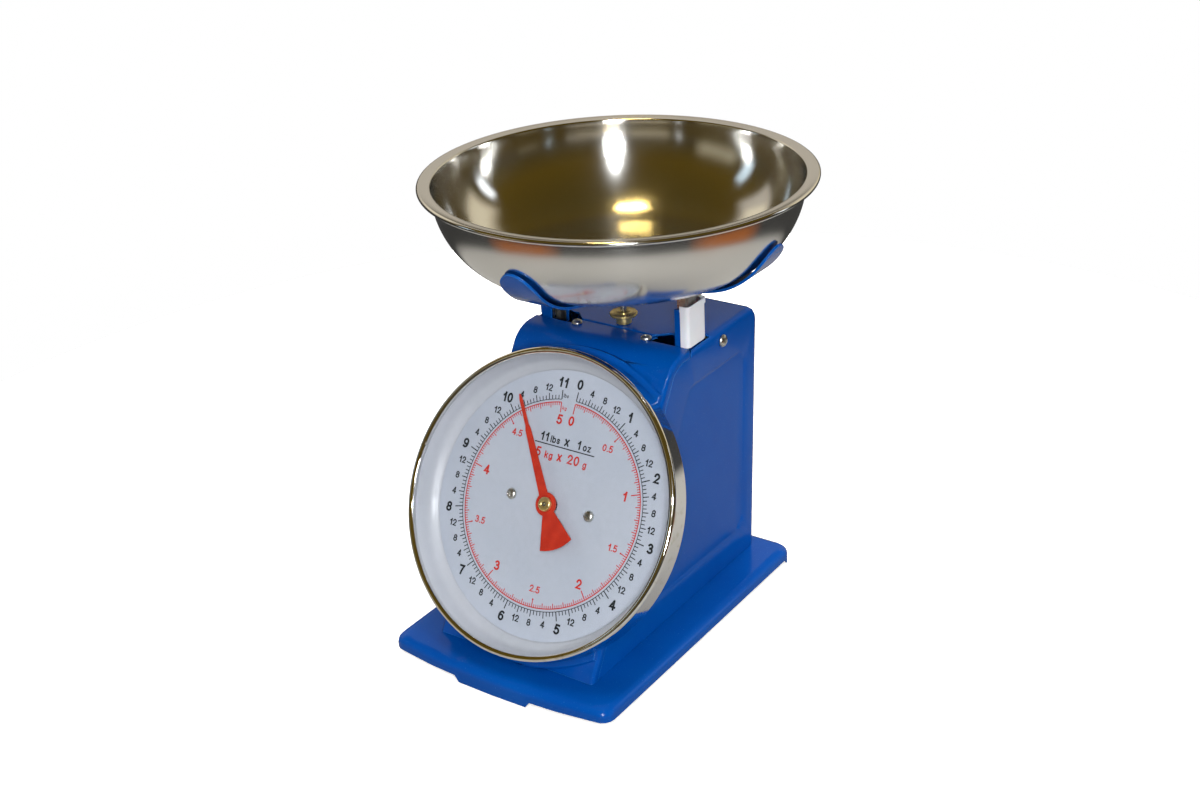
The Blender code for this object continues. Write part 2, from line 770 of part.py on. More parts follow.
def face_screws():
    for side, name in ((-1, "left"), (1, "right")):
        spot = DIAL_FRAME.matrix_world @ Vector((side * FACE_SCREW_X, 0, FACE_DEPTH + GAP))
        towards = DIAL_FRAME.matrix_world.to_3x3() @ Vector((0, 0, 1))
        pan_head_screw(f"face_screw_{name}", frame_at(spot, towards), 3.4 * MM, 1.4 * MM, 6 * MM)


def bezel():
    """A chrome ring with a rolled front edge and a straight band down its side."""
    outer = BEZEL_RADIUS
    inner = outer - 1 * MM
    profile = [(outer - 3.6 * MM, -1.9 * MM)]
    for a in (2.6, 1.9):
        profile.append((outer - 2.6 * MM + 1 * MM * math.cos(a), -1.4 * MM + 1.2 * MM * math.sin(a)))
    profile += [
        (outer - 2 * MM, 0),
        (outer - 1 * MM, -0.1 * MM),
        (outer, -0.8 * MM),
        (outer + 0.3 * MM, -1.9 * MM),
        (outer, -3 * MM),
        (outer, -BEZEL_DEPTH),
        (inner, -BEZEL_DEPTH),
        (inner, -2.6 * MM),
        (outer - 3.2 * MM, -2.6 * MM),
    ]
    turned("bezel", profile, chrome(), DIAL_FRAME, steps=64)


def lens():
    rim = BEZEL_RADIUS - 1.4 * MM
    profile = [(0, -3 * MM), (rim, -3 * MM), (rim, -4.6 * MM), (0, -4.6 * MM)]
    turned("lens", profile, clear_plastic(), DIAL_FRAME, ring=False)


def pointer():
    """A thin red hand with a round hub and a fan-shaped tail, drawn pointing along Y."""
    tip = 68.5 * MM
    tail = 27 * MM
    hub = 7 * MM
    outline = [(0.5 * MM, tip - 0.5 * MM), (0, tip), (-0.5 * MM, tip - 0.5 * MM), (-1.1 * MM, 65 * MM)]
    outline += [(-1.2 * MM, 49 * MM), (-1.9 * MM, 46 * MM)]
    outline += arc((0, 0), hub, 115, 235, 12)
    outline += arc((0, 0), tail, 246, 294, 8)
    outline += arc((0, 0), hub, 305, 425, 12)
    outline += [(1.9 * MM, 46 * MM), (1.2 * MM, 49 * MM), (1.1 * MM, 65 * MM)]
    bore = arc((0, 0), 1.4 * MM, 0, 330, 11)
    hand = slab("pointer", [outline, bore], -0.25 * MM, 0.25 * MM, red_paint(), parent=POINTER_AXIS)
    hand.rotation_euler.z = REST_ANGLE
    profile = [
        (1.4 * MM, 2.6 * MM),
        (3.2 * MM, 2.6 * MM),
        (4.1 * MM, 2 * MM),
        (4.2 * MM, 0.55 * MM),
        (1.4 * MM, 0.55 * MM),
    ]
    turned("pointer_hub", profile, brass(), POINTER_AXIS, steps=24)


# Movement behind the dial


def tooth_outline(root, tip, half_angle):
    """Half angles at root and tip of one tooth of the pinion, as (radius, angle) pairs."""
    wide = half_angle * 1.5
    narrow = half_angle * 0.7
    return [(root, -wide), (tip, -narrow), (tip, narrow), (root, wide)]


def pinion_shaft():
    root = PITCH_RADIUS - DEDENDUM
    tip = PITCH_RADIUS + ADDENDUM
    half_angle = 0.17 * TOOTH_PITCH / PITCH_RADIUS
    outline = []
    for tooth in range(TEETH):
        middle = 2 * math.pi * tooth / TEETH
        for radius, angle in tooth_outline(root, tip, half_angle):
            outline.append((radius * math.cos(middle + angle), radius * math.sin(middle + angle)))
    back = RACK_DEPTH - POINTER_DEPTH
    low = (0, 0, back - 10 * MM)
    shaft = rod("pinion_shaft", 1.1 * MM, low, (0, 0, 2.4 * MM), zinc(), POINTER_AXIS, 12)
    gear = slab("pinion_teeth", [outline], back - 2 * MM, back + 2 * MM, None, parent=POINTER_AXIS)
    boolean(shaft, gear, "UNION")


def rack():
    """A toothed bar beside the pinion. Its slotted head is moved by a pin of the carriage."""
    root = PITCH_RADIUS + DEDENDUM
    tip = PITCH_RADIUS - ADDENDUM
    outer = RACK_OUTER_X
    half = 0.17 * TOOTH_PITCH
    low_tooth = -2
    high_tooth = 12
    low = low_tooth * TOOTH_PITCH
    high = PIN_ALONG + 3 * MM
    outline = [(outer, low), (outer, high), (root, high)]
    for tooth in range(high_tooth, low_tooth - 1, -1):
        middle = (tooth + 0.5) * TOOTH_PITCH
        outline += [(root, middle + half * 1.5), (tip, middle + half * 0.7)]
        outline += [(tip, middle - half * 0.7), (root, middle - half * 1.5)]
    outline.append((root, low))
    bar = slab("rack", [outline[::-1]], -1.5 * MM, 1.5 * MM, zinc(), parent=RACK_AXIS)
    pin_y, pin_z = drive_pin_place()
    corners = rectangle(pin_y - 4.5 * MM, pin_z - 4.5 * MM, pin_y + 16.5 * MM, pin_z + 4.5 * MM)
    head = rounded(corners, 2 * MM)
    boolean(bar, slab("rack_head", [head], outer - 2.4 * MM, outer, None, ALONG_X), "UNION")
    corners = rectangle(pin_y - 1.6 * MM, pin_z - 1.6 * MM, pin_y + 13.4 * MM, pin_z + 1.6 * MM)
    slot = rounded(corners, 1.5 * MM)
    boolean(bar, slab("rack_slot", [slot], -20 * MM, 20 * MM, None, ALONG_X))


def drive_pin_place():
    """(y, z) of the carriage's pin, near the top end of the rack."""
    spot = DIAL_FRAME.matrix_world @ Vector((0, PIN_ALONG, RACK_DEPTH))
    return spot.y, spot.z


def movement_bridge():
    """A strap behind the rack that holds the pinion's rear bearing and guides the rack."""
    back = RACK_DEPTH - 6.5 * MM
    foot = PANEL_DEPTH - SHEET - GAP
    foot_x = FACE_SCREW_X + 4 * MM
    leg_x = 19 * MM
    points = [(-foot_x, foot), (-leg_x, foot), (-leg_x, back), (leg_x, back), (leg_x, foot), (foot_x, foot)]
    rows = [[(x, side * 6 * MM, z) for x, z in points] for side in (-1, 1)]
    bridge = sheet_grid("movement_bridge", rows, zinc(), parent=DIAL_FRAME)
    solidify(bridge, 1.4 * MM, -1)
    boolean(bridge, rod("bearing_hole", 1.5 * MM, (0, 0, 2 * RACK_DEPTH), (0, 0, 0), None, DIAL_FRAME))
    guide_x = RACK_OUTER_X + GAP + 1.5 * MM
    ends = [(guide_x, 0, back - 0.7 * MM), (guide_x, 0, foot - GAP)]
    guide = rod("rack_guide", 1.5 * MM, *ends, None, DIAL_FRAME)
    boolean(bridge, guide, "UNION")
    for side in (-1, 1):
        x = side * FACE_SCREW_X
        hole = rod(f"bridge_hole_{side}", 1.8 * MM, (x, 0, RACK_DEPTH), (x, 0, 0), None, DIAL_FRAME)
        boolean(bridge, hole)


# Spring suspension


def top_beam():
    """The inner cross beam behind the posts, which the side screws hold."""
    top = HOUSING_TOP - SHEET - 2.4 * MM
    half = HOUSING_HALF_WIDTH - SHEET - GAP
    low = 160 * MM
    beam = box("top_beam", (-half, 28 * MM, top - 2 * MM), (half, 46 * MM, top), zinc())
    tongue = box("beam_tongue", (-20 * MM, 11 * MM, top - 2 * MM), (20 * MM, 29 * MM, top), None)
    boolean(beam, tongue, "UNION")
    for side in (-1, 1):
        corner = (half - 1.6 * MM, 29 * MM, low)
        ear = side_box(f"beam_ear_{side}", side, corner, (half - 0.1 * MM, 45 * MM, top - 1 * MM))
        boolean(beam, ear, "UNION")
    boolean(beam, side_screw_hole("beam_hole"))
    boolean(beam, upright_hole("beam_stud_hole", 2.6 * MM, 0, AXIS_Y))


SPRING_X = 17 * MM
SPRING_TOP = 146 * MM
SPRING_BOTTOM = CARRIAGE_Z + 1 * MM + GAP


def spring_hanger():
    """The bar that both springs hang from, with the threaded stud of the zero knob in it."""
    low = SPRING_TOP + GAP
    high = (23 * MM, AXIS_Y + 5 * MM, low + 3 * MM)
    bar = box("spring_hanger", (-23 * MM, AXIS_Y - 5 * MM, low), high, zinc())
    stud = rod("stud_shape", STUD_RADIUS, (0, AXIS_Y, low + 1 * MM), (0, AXIS_Y, STUD_TOP), None)
    boolean(bar, stud, "UNION")
    slot_floor = (-3 * MM, AXIS_Y - 0.4 * MM, STUD_TOP - 1.3 * MM)
    slot = box("stud_slot", slot_floor, (3 * MM, AXIS_Y + 0.4 * MM, ABOVE_TOP), None)
    boolean(bar, slot)


def zero_knob():
    """A brass thumb nut: a thin wide disc on a narrow collar."""
    bore = STUD_RADIUS + GAP
    profile = [
        (bore, 7.6 * MM),
        (4.4 * MM, 7.6 * MM),
        (4.6 * MM, 6.9 * MM),
        (8 * MM, 6.7 * MM),
        (8.3 * MM, 6.3 * MM),
        (8.3 * MM, 5.3 * MM),
        (8 * MM, 4.9 * MM),
        (4.6 * MM, 4.7 * MM),
        (4.6 * MM, 0),
        (bore, 0),
    ]
    seat = (0, AXIS_Y, HOUSING_TOP + GAP)
    turned("zero_knob", profile, brass(), location=seat, steps=28)


def springs():
    """Two extension springs. Each hangs from the bar above and holds the carriage below."""
    turns = 12
    per_turn = 10
    hook = 3 * MM
    radius = 5 * MM
    low = SPRING_BOTTOM + hook
    high = SPRING_TOP - hook
    for side, name in ((-1, "left"), (1, "right")):
        curve = bpy.data.curves.new(f"spring_{name}", "CURVE")
        curve.dimensions = "3D"
        curve.bevel_depth = 0.8 * MM
        curve.bevel_resolution = 2
        curve.use_fill_caps = True
        points = [(0, 0, SPRING_BOTTOM), (0, 0, low)]
        for i in range(turns * per_turn + 1):
            angle = 2 * math.pi * i / per_turn
            height = low + (high - low) * i / (turns * per_turn)
            points.append((radius * math.cos(angle), radius * math.sin(angle), height))
        points += [(0, 0, high), (0, 0, SPRING_TOP)]
        spline = curve.splines.new("POLY")
        spline.points.add(len(points) - 1)
        for point, (x, y, z) in zip(spline.points, points):
            point.co = (x, y, z, 1)
        coil = bpy.data.objects.new(f"spring_{name}", curve)
        coil.location = (side * SPRING_X, AXIS_Y, 0)
        curve.materials.append(spring_steel())
        PARTS.objects.link(coil)


# Platform


def ear_half_width(along):
    """Half the width of an arm, at a distance along it from the middle of the plate."""
    flare = EAR_HALF_WIDTH + 20 * MM * math.exp((EAR_START - along) / (15 * MM))
    reach = 14.5 * MM
    past = max(along - EAR_END + reach, 0) / reach
    return flare * math.sqrt(max(1 - past * past, 0.05))


def ear_point(along, across):
    """The arm is flat under the bowl's floor and then follows its wall at a small gap."""
    beyond = along - BOWL_FLOOR_RADIUS
    if beyond <= 0:
        return Vector((along, across, PLATE_TOP))
    wide = BOWL_WALL_RADIUS - BOWL_FLOOR_RADIUS
    tall = BOWL_WALL_TOP - BOWL_FLOOR
    angle = math.radians(90) * min(beyond / (78.6 * MM), 1)
    gap = GAP + (EAR_GAP - GAP) * min(math.degrees(angle) / 20, 1)
    radius = BOWL_FLOOR_RADIUS + (wide + gap) * math.sin(angle)
    height = BOWL_WALL_TOP - (tall + gap) * math.cos(angle)
    return Vector((radius, across, height))


def cross_plate():
    """The blue pressed plate with four rounded ears that stand up around the bowl."""
    shape = bmesh.new()
    steps = (0, 5, 10, 15, 20, 26, 33, 41, 49, 56, 60, 64, 67, 69, 70.5)
    stations = [EAR_START + step * MM for step in steps]
    rims = []
    for quarter in range(4):
        turn = Matrix.Rotation(math.radians(90 * quarter), 3, "Z")
        grid = []
        for along in stations:
            half = ear_half_width(along)
            row = [turn @ ear_point(along, half * side) for side in (-1, -0.5, 0, 0.5, 1)]
            grid.append([shape.verts.new(point) for point in row])
        for upper, lower in zip(grid, grid[1:]):
            for corners in zip(upper, lower, lower[1:], upper[1:]):
                shape.faces.new(corners)
        corner = 56 * MM * math.sqrt(0.5)
        rims += grid[0]
        rims.append(shape.verts.new(turn @ Vector((corner, corner, PLATE_TOP))))
    shape.faces.new(rims)
    bmesh.ops.recalc_face_normals(shape, faces=shape.faces)
    if max(shape.faces, key=lambda face: face.calc_area()).normal.z < 0:
        bmesh.ops.reverse_faces(shape, faces=shape.faces)
    bmesh.ops.translate(shape, vec=(0, AXIS_Y, 0), verts=shape.verts)
    mesh = bpy.data.meshes.new("cross_plate")
    shape.to_mesh(mesh)
    shape.free()
    plate = place("cross_plate", mesh, paint())
    solidify(plate, PLATE_THICK)


def channel(name, side, inner, near, far, sections, bend, thickness, surface):
    """An upright channel of bent sheet, open towards the middle.

    Each section is (height, outer x, how much wider the channel is in front and behind).
    """
    rows = []
    for z, outer, wider in sections:
        front = near - wider
        back = far + wider
        path = [(inner, front)]
        path += arc((outer - bend, front + bend), bend, -90, 0, 3)
        path += arc((outer - bend, back - bend), bend, 0, 90, 3)
        path.append((inner, back))
        rows.append([(side * x, y, z) for x, y in path])
    made = sheet_grid(name, rows, surface)
    solidify(made, thickness, -side)
    return made


def posts():
    """Blue posts, the white sleeve, and the steel brackets that join them to the plate."""
    back = POST_FRONT + POST_DEPTH
    for side, name in ((-1, "left"), (1, "right")):
        outer = POST_OUTER_X
        narrow = POST_OUTER_X - POST_STEP
        wall = 1 * MM
        sections = [(POST_BOTTOM, narrow, 0), (HOUSING_TOP - 1 * MM, narrow, 0)]
        sections += [(HOUSING_TOP + 1 * MM, outer, 0), (POST_TOP, outer, 0)]
        near = POST_FRONT
        channel(f"post_{name}", side, POST_INNER_X, near, back, sections, 1.6 * MM, wall, paint())
        inset = wall + GAP
        sections = [(150 * MM, narrow - inset, -inset), (POST_TOP + GAP, narrow - inset, -inset)]
        sections += [(POST_TOP + 2 * MM, outer - 0.6 * MM, -inset), (PLATE_UNDER, outer - 0.6 * MM, -inset)]
        bracket = channel(
            f"post_bracket_{name}", side, 45 * MM, near, back, sections, 1.6 * MM, wall, zinc()
        )
        low = (30 * MM, near + inset, PLATE_UNDER - wall)
        flange = side_box(f"bracket_flange_{side}", side, low, (51 * MM, back - inset, PLATE_UNDER))
        boolean(bracket, flange, "UNION")
        for spot_y, spot_z, radius in ((7.6, 207, 2), (BRACKET_SCREW_Y / MM, BRACKET_SCREW_Z / MM, 1.5)):
            ends = [(side * x * MM, spot_y * MM, spot_z * MM) for x in (48, 56)]
            boolean(bracket, rod(f"bracket_hole_{side}_{spot_y:.0f}", radius * MM, *ends, None))
        seat = (side * (outer - 0.6 * MM + GAP), BRACKET_SCREW_Y, BRACKET_SCREW_Z)
        pan_head_screw(f"bracket_screw_{name}", frame_at(seat, (side, 0, 0)), 2.1 * MM, 1.1 * MM, 3 * MM)
    white_sleeve()


def white_sleeve():
    """A plastic cover on the outer half of the right post, a little wider above its lip."""
    wall = 0.6 * MM
    snug = GAP + wall
    lip = 0.5 * MM
    sections = [
        (HOUSING_TOP - 0.5 * MM, POST_OUTER_X + snug, snug),
        (196.4 * MM, POST_OUTER_X + snug, snug),
        (197.2 * MM, POST_OUTER_X + snug + lip, snug + lip),
        (200.5 * MM, POST_OUTER_X + snug + lip, snug + lip),
    ]
    back = POST_FRONT + POST_DEPTH
    inner = 48 * MM
    channel("post_sleeve", 1, inner, POST_FRONT, back, sections, 2.4 * MM, wall, white_plastic())


def carriage():
    """The yoke that joins both posts inside the housing and carries the springs' lower ends."""
    half = POST_OUTER_X - POST_STEP - 1 * MM - GAP
    near = AXIS_Y - 6 * MM
    far = AXIS_Y + 3.9 * MM
    high = (half, far, CARRIAGE_Z + 1 * MM)
    yoke = box("carriage", (-half, near, CARRIAGE_Z - 1 * MM), high, zinc())
    pin_y, pin_z = drive_pin_place()
    arm_x = RACK_OUTER_X + 1 * MM
    arm = [
        (AXIS_Y - 5 * MM, CARRIAGE_Z - 0.6 * MM),
        (AXIS_Y + 3 * MM, CARRIAGE_Z - 0.6 * MM),
        (AXIS_Y + 3 * MM, CARRIAGE_Z + 6 * MM),
        (pin_y + 4 * MM, pin_z + 3 * MM),
        (pin_y - 3 * MM, pin_z + 3 * MM),
        (pin_y - 3 * MM, pin_z - 3 * MM),
    ]
    boolean(yoke, slab("carriage_arm", [arm], arm_x, arm_x + 2 * MM, None, ALONG_X), "UNION")
    pin_end = PITCH_RADIUS - 1 * MM
    pin = rod("drive_pin", 1.2 * MM, (arm_x + 1 * MM, pin_y, pin_z), (pin_end, pin_y, pin_z), None)
    boolean(yoke, pin, "UNION")
    for side in (-1, 1):
        low = (36.4 * MM, LINK_PIN_Y - 4 * MM, LINK_PIN_Z - 4 * MM)
        ear = side_box(f"carriage_ear_{side}", side, low, (38 * MM, LINK_PIN_Y + 4 * MM, CARRIAGE_Z))
        boolean(yoke, ear, "UNION")
        ends = [(side * x * MM, LINK_PIN_Y, LINK_PIN_Z) for x in (37, 33)]
        boolean(yoke, rod(f"carriage_pin_{side}", 1.2 * MM, *ends, None), "UNION")


def check_link():
    """The link that keeps the carriage upright: a pivot behind and a slot each side in front."""
    half = 34.6 * MM
    reach = math.hypot(LINK_PIVOT_Y - LINK_PIN_Y, TRAVEL / 2)
    rows = []
    for y in (-reach - 4.5 * MM, 4 * MM):
        rows.append([(-half, y, -4 * MM), (-half, y, 4 * MM), (half, y, 4 * MM), (half, y, -4 * MM)])
    link = sheet_grid("check_link", rows, zinc(), parent=LINK_AXIS)
    solidify(link, SHEET, -1)
    window = box("link_window", (-28 * MM, -34 * MM, 2 * MM), (28 * MM, -9 * MM, 8 * MM), None, LINK_AXIS)
    boolean(link, window)
    past = HOUSING_HALF_WIDTH + 5 * MM
    bore = rod("link_bore", LINK_ROD_RADIUS + GAP, (-past, 0, 0), (past, 0, 0), None, LINK_AXIS)
    boolean(link, bore)
    slot = rounded(rectangle(-reach - 2 * MM, -1.7 * MM, -reach + 3.4 * MM, 1.7 * MM), 1.6 * MM)
    boolean(link, slab("link_slot", [slot], -past, past, None, ALONG_X, LINK_AXIS))


def link_rod():
    ends = [(side * 51.9 * MM, LINK_PIVOT_Y, LINK_PIVOT_Z) for side in (-1, 1)]
    rod("link_rod", LINK_ROD_RADIUS, *ends, zinc())


def bowl():
    """Spun steel, with a flat floor, a deep curved wall and a flat rim with a rolled edge."""
    wide = BOWL_WALL_RADIUS - BOWL_FLOOR_RADIUS
    tall = BOWL_WALL_TOP - BOWL_FLOOR
    steps = 8
    curl = 1.3 * MM
    curl_centre = (BOWL_RADIUS - curl, BOWL_WALL_TOP + 0.6 * MM)
    outer_wall = []
    inner_wall = []
    for i in range(steps + 1):
        angle = math.radians(90 * i / steps)
        down = math.cos(angle)
        out = math.sin(angle)
        outer_wall.append((BOWL_FLOOR_RADIUS + wide * out, BOWL_WALL_TOP - tall * down))
        inner = BOWL_FLOOR_RADIUS + (wide - BOWL_SHEET) * out
        inner_wall.append((inner, BOWL_WALL_TOP + 0.6 * MM - (tall - BOWL_SHEET + 0.6 * MM) * down))
    rim = [(BOWL_WALL_RADIUS + 0.6 * MM, BOWL_WALL_TOP + 1.3 * MM)]
    rim += arc(curl_centre, curl, 100, -100, 4)
    rim += [(BOWL_WALL_RADIUS + 1 * MM, BOWL_WALL_TOP + 0.5 * MM)]
    profile = [(0, BOWL_FLOOR + BOWL_SHEET)] + inner_wall + rim + outer_wall[::-1] + [(0, BOWL_FLOOR)]
    turned("bowl", profile, stainless(), location=(0, AXIS_Y, 0), steps=60, ring=False)


DIAL_FRAME = empty("dial_frame", DIAL_CENTRE, math.pi / 2 - LEAN)
bpy.context.view_layer.update()
POINTER_AXIS = empty("pointer_axis", (0, 0, POINTER_DEPTH))
RACK_AXIS = empty("rack_axis", (0, 0, RACK_DEPTH))
for axis in (POINTER_AXIS, RACK_AXIS):
    axis.parent = DIAL_FRAME
LINK_AXIS = empty(
    "link_axis",
    (0, LINK_PIVOT_Y, LINK_PIVOT_Z),
    -math.atan2(TRAVEL / 2, LINK_PIVOT_Y - LINK_PIN_Y),
)

base_plate()
base_screws()
foot_pads()
housing_shell()
front_panel()
housing_screws()
dial_case()
dial_face()
face_screws()
bezel()
lens()
pointer()
pinion_shaft()
rack()
movement_bridge()
top_beam()
spring_hanger()
zero_knob()
springs()
cross_plate()
posts()
carriage()
check_link()
link_rod()
bowl()
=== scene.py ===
"""The look of a mechanical kitchen scale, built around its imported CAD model.

Everything is in metres in the frame of the CAD: +X to the right of the reader of the dial,
+Y away from them, +Z up. Small shapes are given in millimetres and scaled by MM.
"""

import json
import math

import bmesh
import bpy
from mathutils import Matrix, Vector

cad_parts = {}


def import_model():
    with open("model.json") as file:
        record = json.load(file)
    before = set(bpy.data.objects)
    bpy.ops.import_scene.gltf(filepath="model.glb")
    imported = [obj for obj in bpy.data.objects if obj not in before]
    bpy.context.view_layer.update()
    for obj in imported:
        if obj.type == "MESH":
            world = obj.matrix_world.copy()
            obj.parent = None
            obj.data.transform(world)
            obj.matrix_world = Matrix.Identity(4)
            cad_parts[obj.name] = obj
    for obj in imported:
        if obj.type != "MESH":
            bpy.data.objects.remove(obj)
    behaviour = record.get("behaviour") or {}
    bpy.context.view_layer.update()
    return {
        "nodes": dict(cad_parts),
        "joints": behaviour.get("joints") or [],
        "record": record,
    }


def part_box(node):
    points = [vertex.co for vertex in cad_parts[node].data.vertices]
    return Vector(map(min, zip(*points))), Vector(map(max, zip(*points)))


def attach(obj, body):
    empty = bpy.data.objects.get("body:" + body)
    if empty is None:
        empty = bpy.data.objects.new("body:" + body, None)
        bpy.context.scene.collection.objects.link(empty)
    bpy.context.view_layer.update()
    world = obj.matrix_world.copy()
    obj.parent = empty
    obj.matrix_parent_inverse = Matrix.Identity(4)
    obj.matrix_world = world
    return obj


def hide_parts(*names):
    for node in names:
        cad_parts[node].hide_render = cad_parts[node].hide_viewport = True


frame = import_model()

MM = 0.001
NODES = frame["nodes"]
BODIES = frame["record"]["behaviour"]["bodies"]
BODY_OF = {node: body for body, nodes in BODIES.items() for node in nodes}
JOINTS = {joint["name"]: joint for joint in frame["joints"]}

for leftover in ("Cube", "Light", "Camera"):
    if leftover in bpy.data.objects:
        bpy.data.objects.remove(bpy.data.objects[leftover])


# Frames and extents


def extent(node, place=None):
    """Lowest and highest corner of a CAD node, in the frame of a matrix."""
    inverse = (place or Matrix.Identity(4)).inverted()
    points = [inverse @ vert.co for vert in NODES[node].data.vertices]
    low = Vector([min(point[i] for point in points) for i in range(3)])
    high = Vector([max(point[i] for point in points) for i in range(3)])
    return low, high


def frame_at(point, direction):
    """The matrix whose z runs along a direction from a point, with x level."""
    z = Vector(direction).normalized()
    x = Vector((1, 0, 0)) if abs(z.x) < 0.9 else Vector((0, 1, 0))
    y = z.cross(x).normalized()
    x = y.cross(z)
    turn = Matrix((x, y, z)).transposed().to_4x4()
    return Matrix.Translation(point) @ turn


POINTER_JOINT = JOINTS["pointer_turn"]
DIAL = frame_at(Vector(POINTER_JOINT["pos_m"]), -Vector(POINTER_JOINT["axis"]))
BOWL_LOW, BOWL_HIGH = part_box("bowl")
BOWL_AXIS = Matrix.Translation(((BOWL_LOW.x + BOWL_HIGH.x) / 2, (BOWL_LOW.y + BOWL_HIGH.y) / 2, 0))

# The bowl's shape, which the ears of the plate follow
FLAT_RADIUS = 60 * MM
RIM_WIDTH = 7.5 * MM
RIM_CURL = 1.3 * MM
RIM_RISE = 0.6 * MM
BOWL_SHEET = 0.8 * MM
PLATE_SHEET = 1.5 * MM


def add_object(name, data):
    made = bpy.data.objects.new(name, data)
    bpy.context.scene.collection.objects.link(made)
    return made


# Materials


class Tree:
    """A short way to write the nodes of one material."""

    def __init__(self, name):
        self.material = bpy.data.materials.new(name)
        self.material.use_nodes = True
        self.nodes = self.material.node_tree.nodes
        self.links = self.material.node_tree.links
        self.shader = self.nodes["Principled BSDF"]

    def set(self, **values):
        for name, value in values.items():
            self.shader.inputs[name.replace("_", " ")].default_value = value

    def feed(self, socket, value):
        """Link another node's output to a socket, or set its number."""
        if isinstance(value, bpy.types.NodeSocket):
            self.links.new(value, socket)
        else:
            socket.default_value = value

    def add(self, kind, settings=None, **inputs):
        made = self.nodes.new("ShaderNode" + kind)
        for name, value in (settings or {}).items():
            setattr(made, name, value)
        for name, value in inputs.items():
            self.feed(made.inputs[name.replace("_", " ")], value)
        return made

    def object_place(self):
        return self.add("TexCoord").outputs["Object"]

    def noise(self, scale, detail=3.0, place=None, roughness=0.55):
        place = place or self.object_place()
        made = self.add("TexNoise", None, Vector=place, Scale=scale, Detail=detail)
        made.inputs["Roughness"].default_value = roughness
        return made.outputs["Fac"]

    def between(self, value, low, high, from_low=0.3, from_high=0.7):
        """A number remapped to a range, by default from the middle of a noise."""
        made = self.add(
            "MapRange", None, Value=value,
            From_Min=from_low, From_Max=from_high, To_Min=low, To_Max=high,
        )
        return made.outputs["Result"]

    def blend(self, value, first, second):
        """A colour between two, by a number from 0 to 1."""
        made = self.add("Mix", {"data_type": "RGBA"})
        self.links.new(value, made.inputs[0])
        for socket, colour in ((made.inputs[6], first), (made.inputs[7], second)):
            if isinstance(colour, bpy.types.NodeSocket):
                self.links.new(colour, socket)
            else:
                socket.default_value = (*colour, 1)
        return made.outputs[2]

    def math(self, operation, first, second):
        made = self.add("Math", {"operation": operation})
        for socket, value in zip(made.inputs, (first, second)):
            self.feed(socket, value)
        return made.outputs[0]

    def vector(self, operation, *values):
        made = self.add("VectorMath", {"operation": operation})
        for socket, value in zip(made.inputs, values):
            self.feed(socket, value)
        return made.outputs

    def bump(self, height, distance, strength=1.0, normal=None):
        made = self.add("Bump", None, Height=height, Distance=distance, Strength=strength)
        if normal is not None:
            self.links.new(normal, made.inputs["Normal"])
        return made.outputs["Normal"]

    def join(self, **sockets):
        for name, socket in sockets.items():
            self.links.new(socket, self.shader.inputs[name.replace("_", " ")])

    def edges(self, radius):
        """(normal rounded over the edges, how close a point is to an edge from 0 to 1)."""
        rounded = self.add("Bevel", {"samples": 4}, Radius=radius).outputs["Normal"]
        flat = self.add("NewGeometry").outputs["Normal"]
        same = self.vector("DOT_PRODUCT", rounded, flat)["Value"]
        return rounded, self.between(same, 1.0, 0.0, 0.86, 0.995)

    def facing(self, place, azimuth, half_width, soft):
        """1 within a half width in degrees of a level direction, 0 past a soft edge."""
        level = self.vector("MULTIPLY", place, (1, 1, 0))[0]
        unit = self.vector("NORMALIZE", level)[0]
        turn = math.radians(azimuth)
        towards = (math.sin(turn), -math.cos(turn), 0)
        far = math.cos(math.radians(half_width + soft))
        near = math.cos(math.radians(half_width))
        return self.between(self.vector("DOT_PRODUCT", unit, towards)["Value"], 0, 1, far, near)

    def ramp(self, value, steps):
        """A colour from (position, colour) steps."""
        made = self.add("ValToRGB", None, Fac=value)
        elements = made.color_ramp.elements
        while len(elements) < len(steps):
            elements.new(0.5)
        for element, (position, colour) in zip(elements, steps):
            element.position = position
            element.color = (*colour, 1)
        return made.outputs["Color"]

    def rings(self, scale):
        """Fine turned lines around the z axis of the object."""
        parts = self.add("SeparateXYZ", None, Vector=self.object_place())
        flat = self.add("CombineXYZ", None, X=parts.outputs["X"], Y=parts.outputs["Y"])
        radius = self.vector("LENGTH", flat.outputs[0])["Value"]
        along = self.math("ADD", radius, parts.outputs["Z"])
        wobble = self.math("MULTIPLY", self.noise(18, 1), 0.0006)
        lines = self.add(
            "TexNoise", {"noise_dimensions": "1D"},
            W=self.math("ADD", along, wobble), Scale=scale, Detail=4, Roughness=0.7,
        )
        return lines.outputs["Fac"]


def blue_paint():
    tree = Tree("blue_gloss_enamel")
    tree.set(Specular_IOR_Level=0.16, Coat_Weight=0.14, Coat_Roughness=0.04, IOR=1.45)
    cloud = tree.between(tree.noise(14), 0, 1)
    body = tree.blend(cloud, (0.0, 0.056, 0.3), (0.0, 0.07, 0.345))
    rounded, edge = tree.edges(0.9 * MM)
    # Painted highlight: the paint turns lighter blue near its edges, unevenly, standing in for the
    # bright lines light draws along bends.
    painted_highlight = tree.math("MULTIPLY", edge, tree.between(tree.noise(90), 0.4, 0.85))
    body = tree.blend(painted_highlight, body, (0.03, 0.23, 0.72))
    speck = tree.between(tree.noise(1400, 1), 0, 1, 0.7, 0.76)
    body = tree.blend(tree.math("MULTIPLY", speck, 0.25), body, (0.1, 0.25, 0.6))
    peel = tree.bump(tree.noise(420, 2), 0.03 * MM, 0.25, rounded)
    tree.join(
        Base_Color=body,
        Roughness=tree.between(tree.noise(35), 0.14, 0.24),
        Normal=peel,
    )
    return tree.material


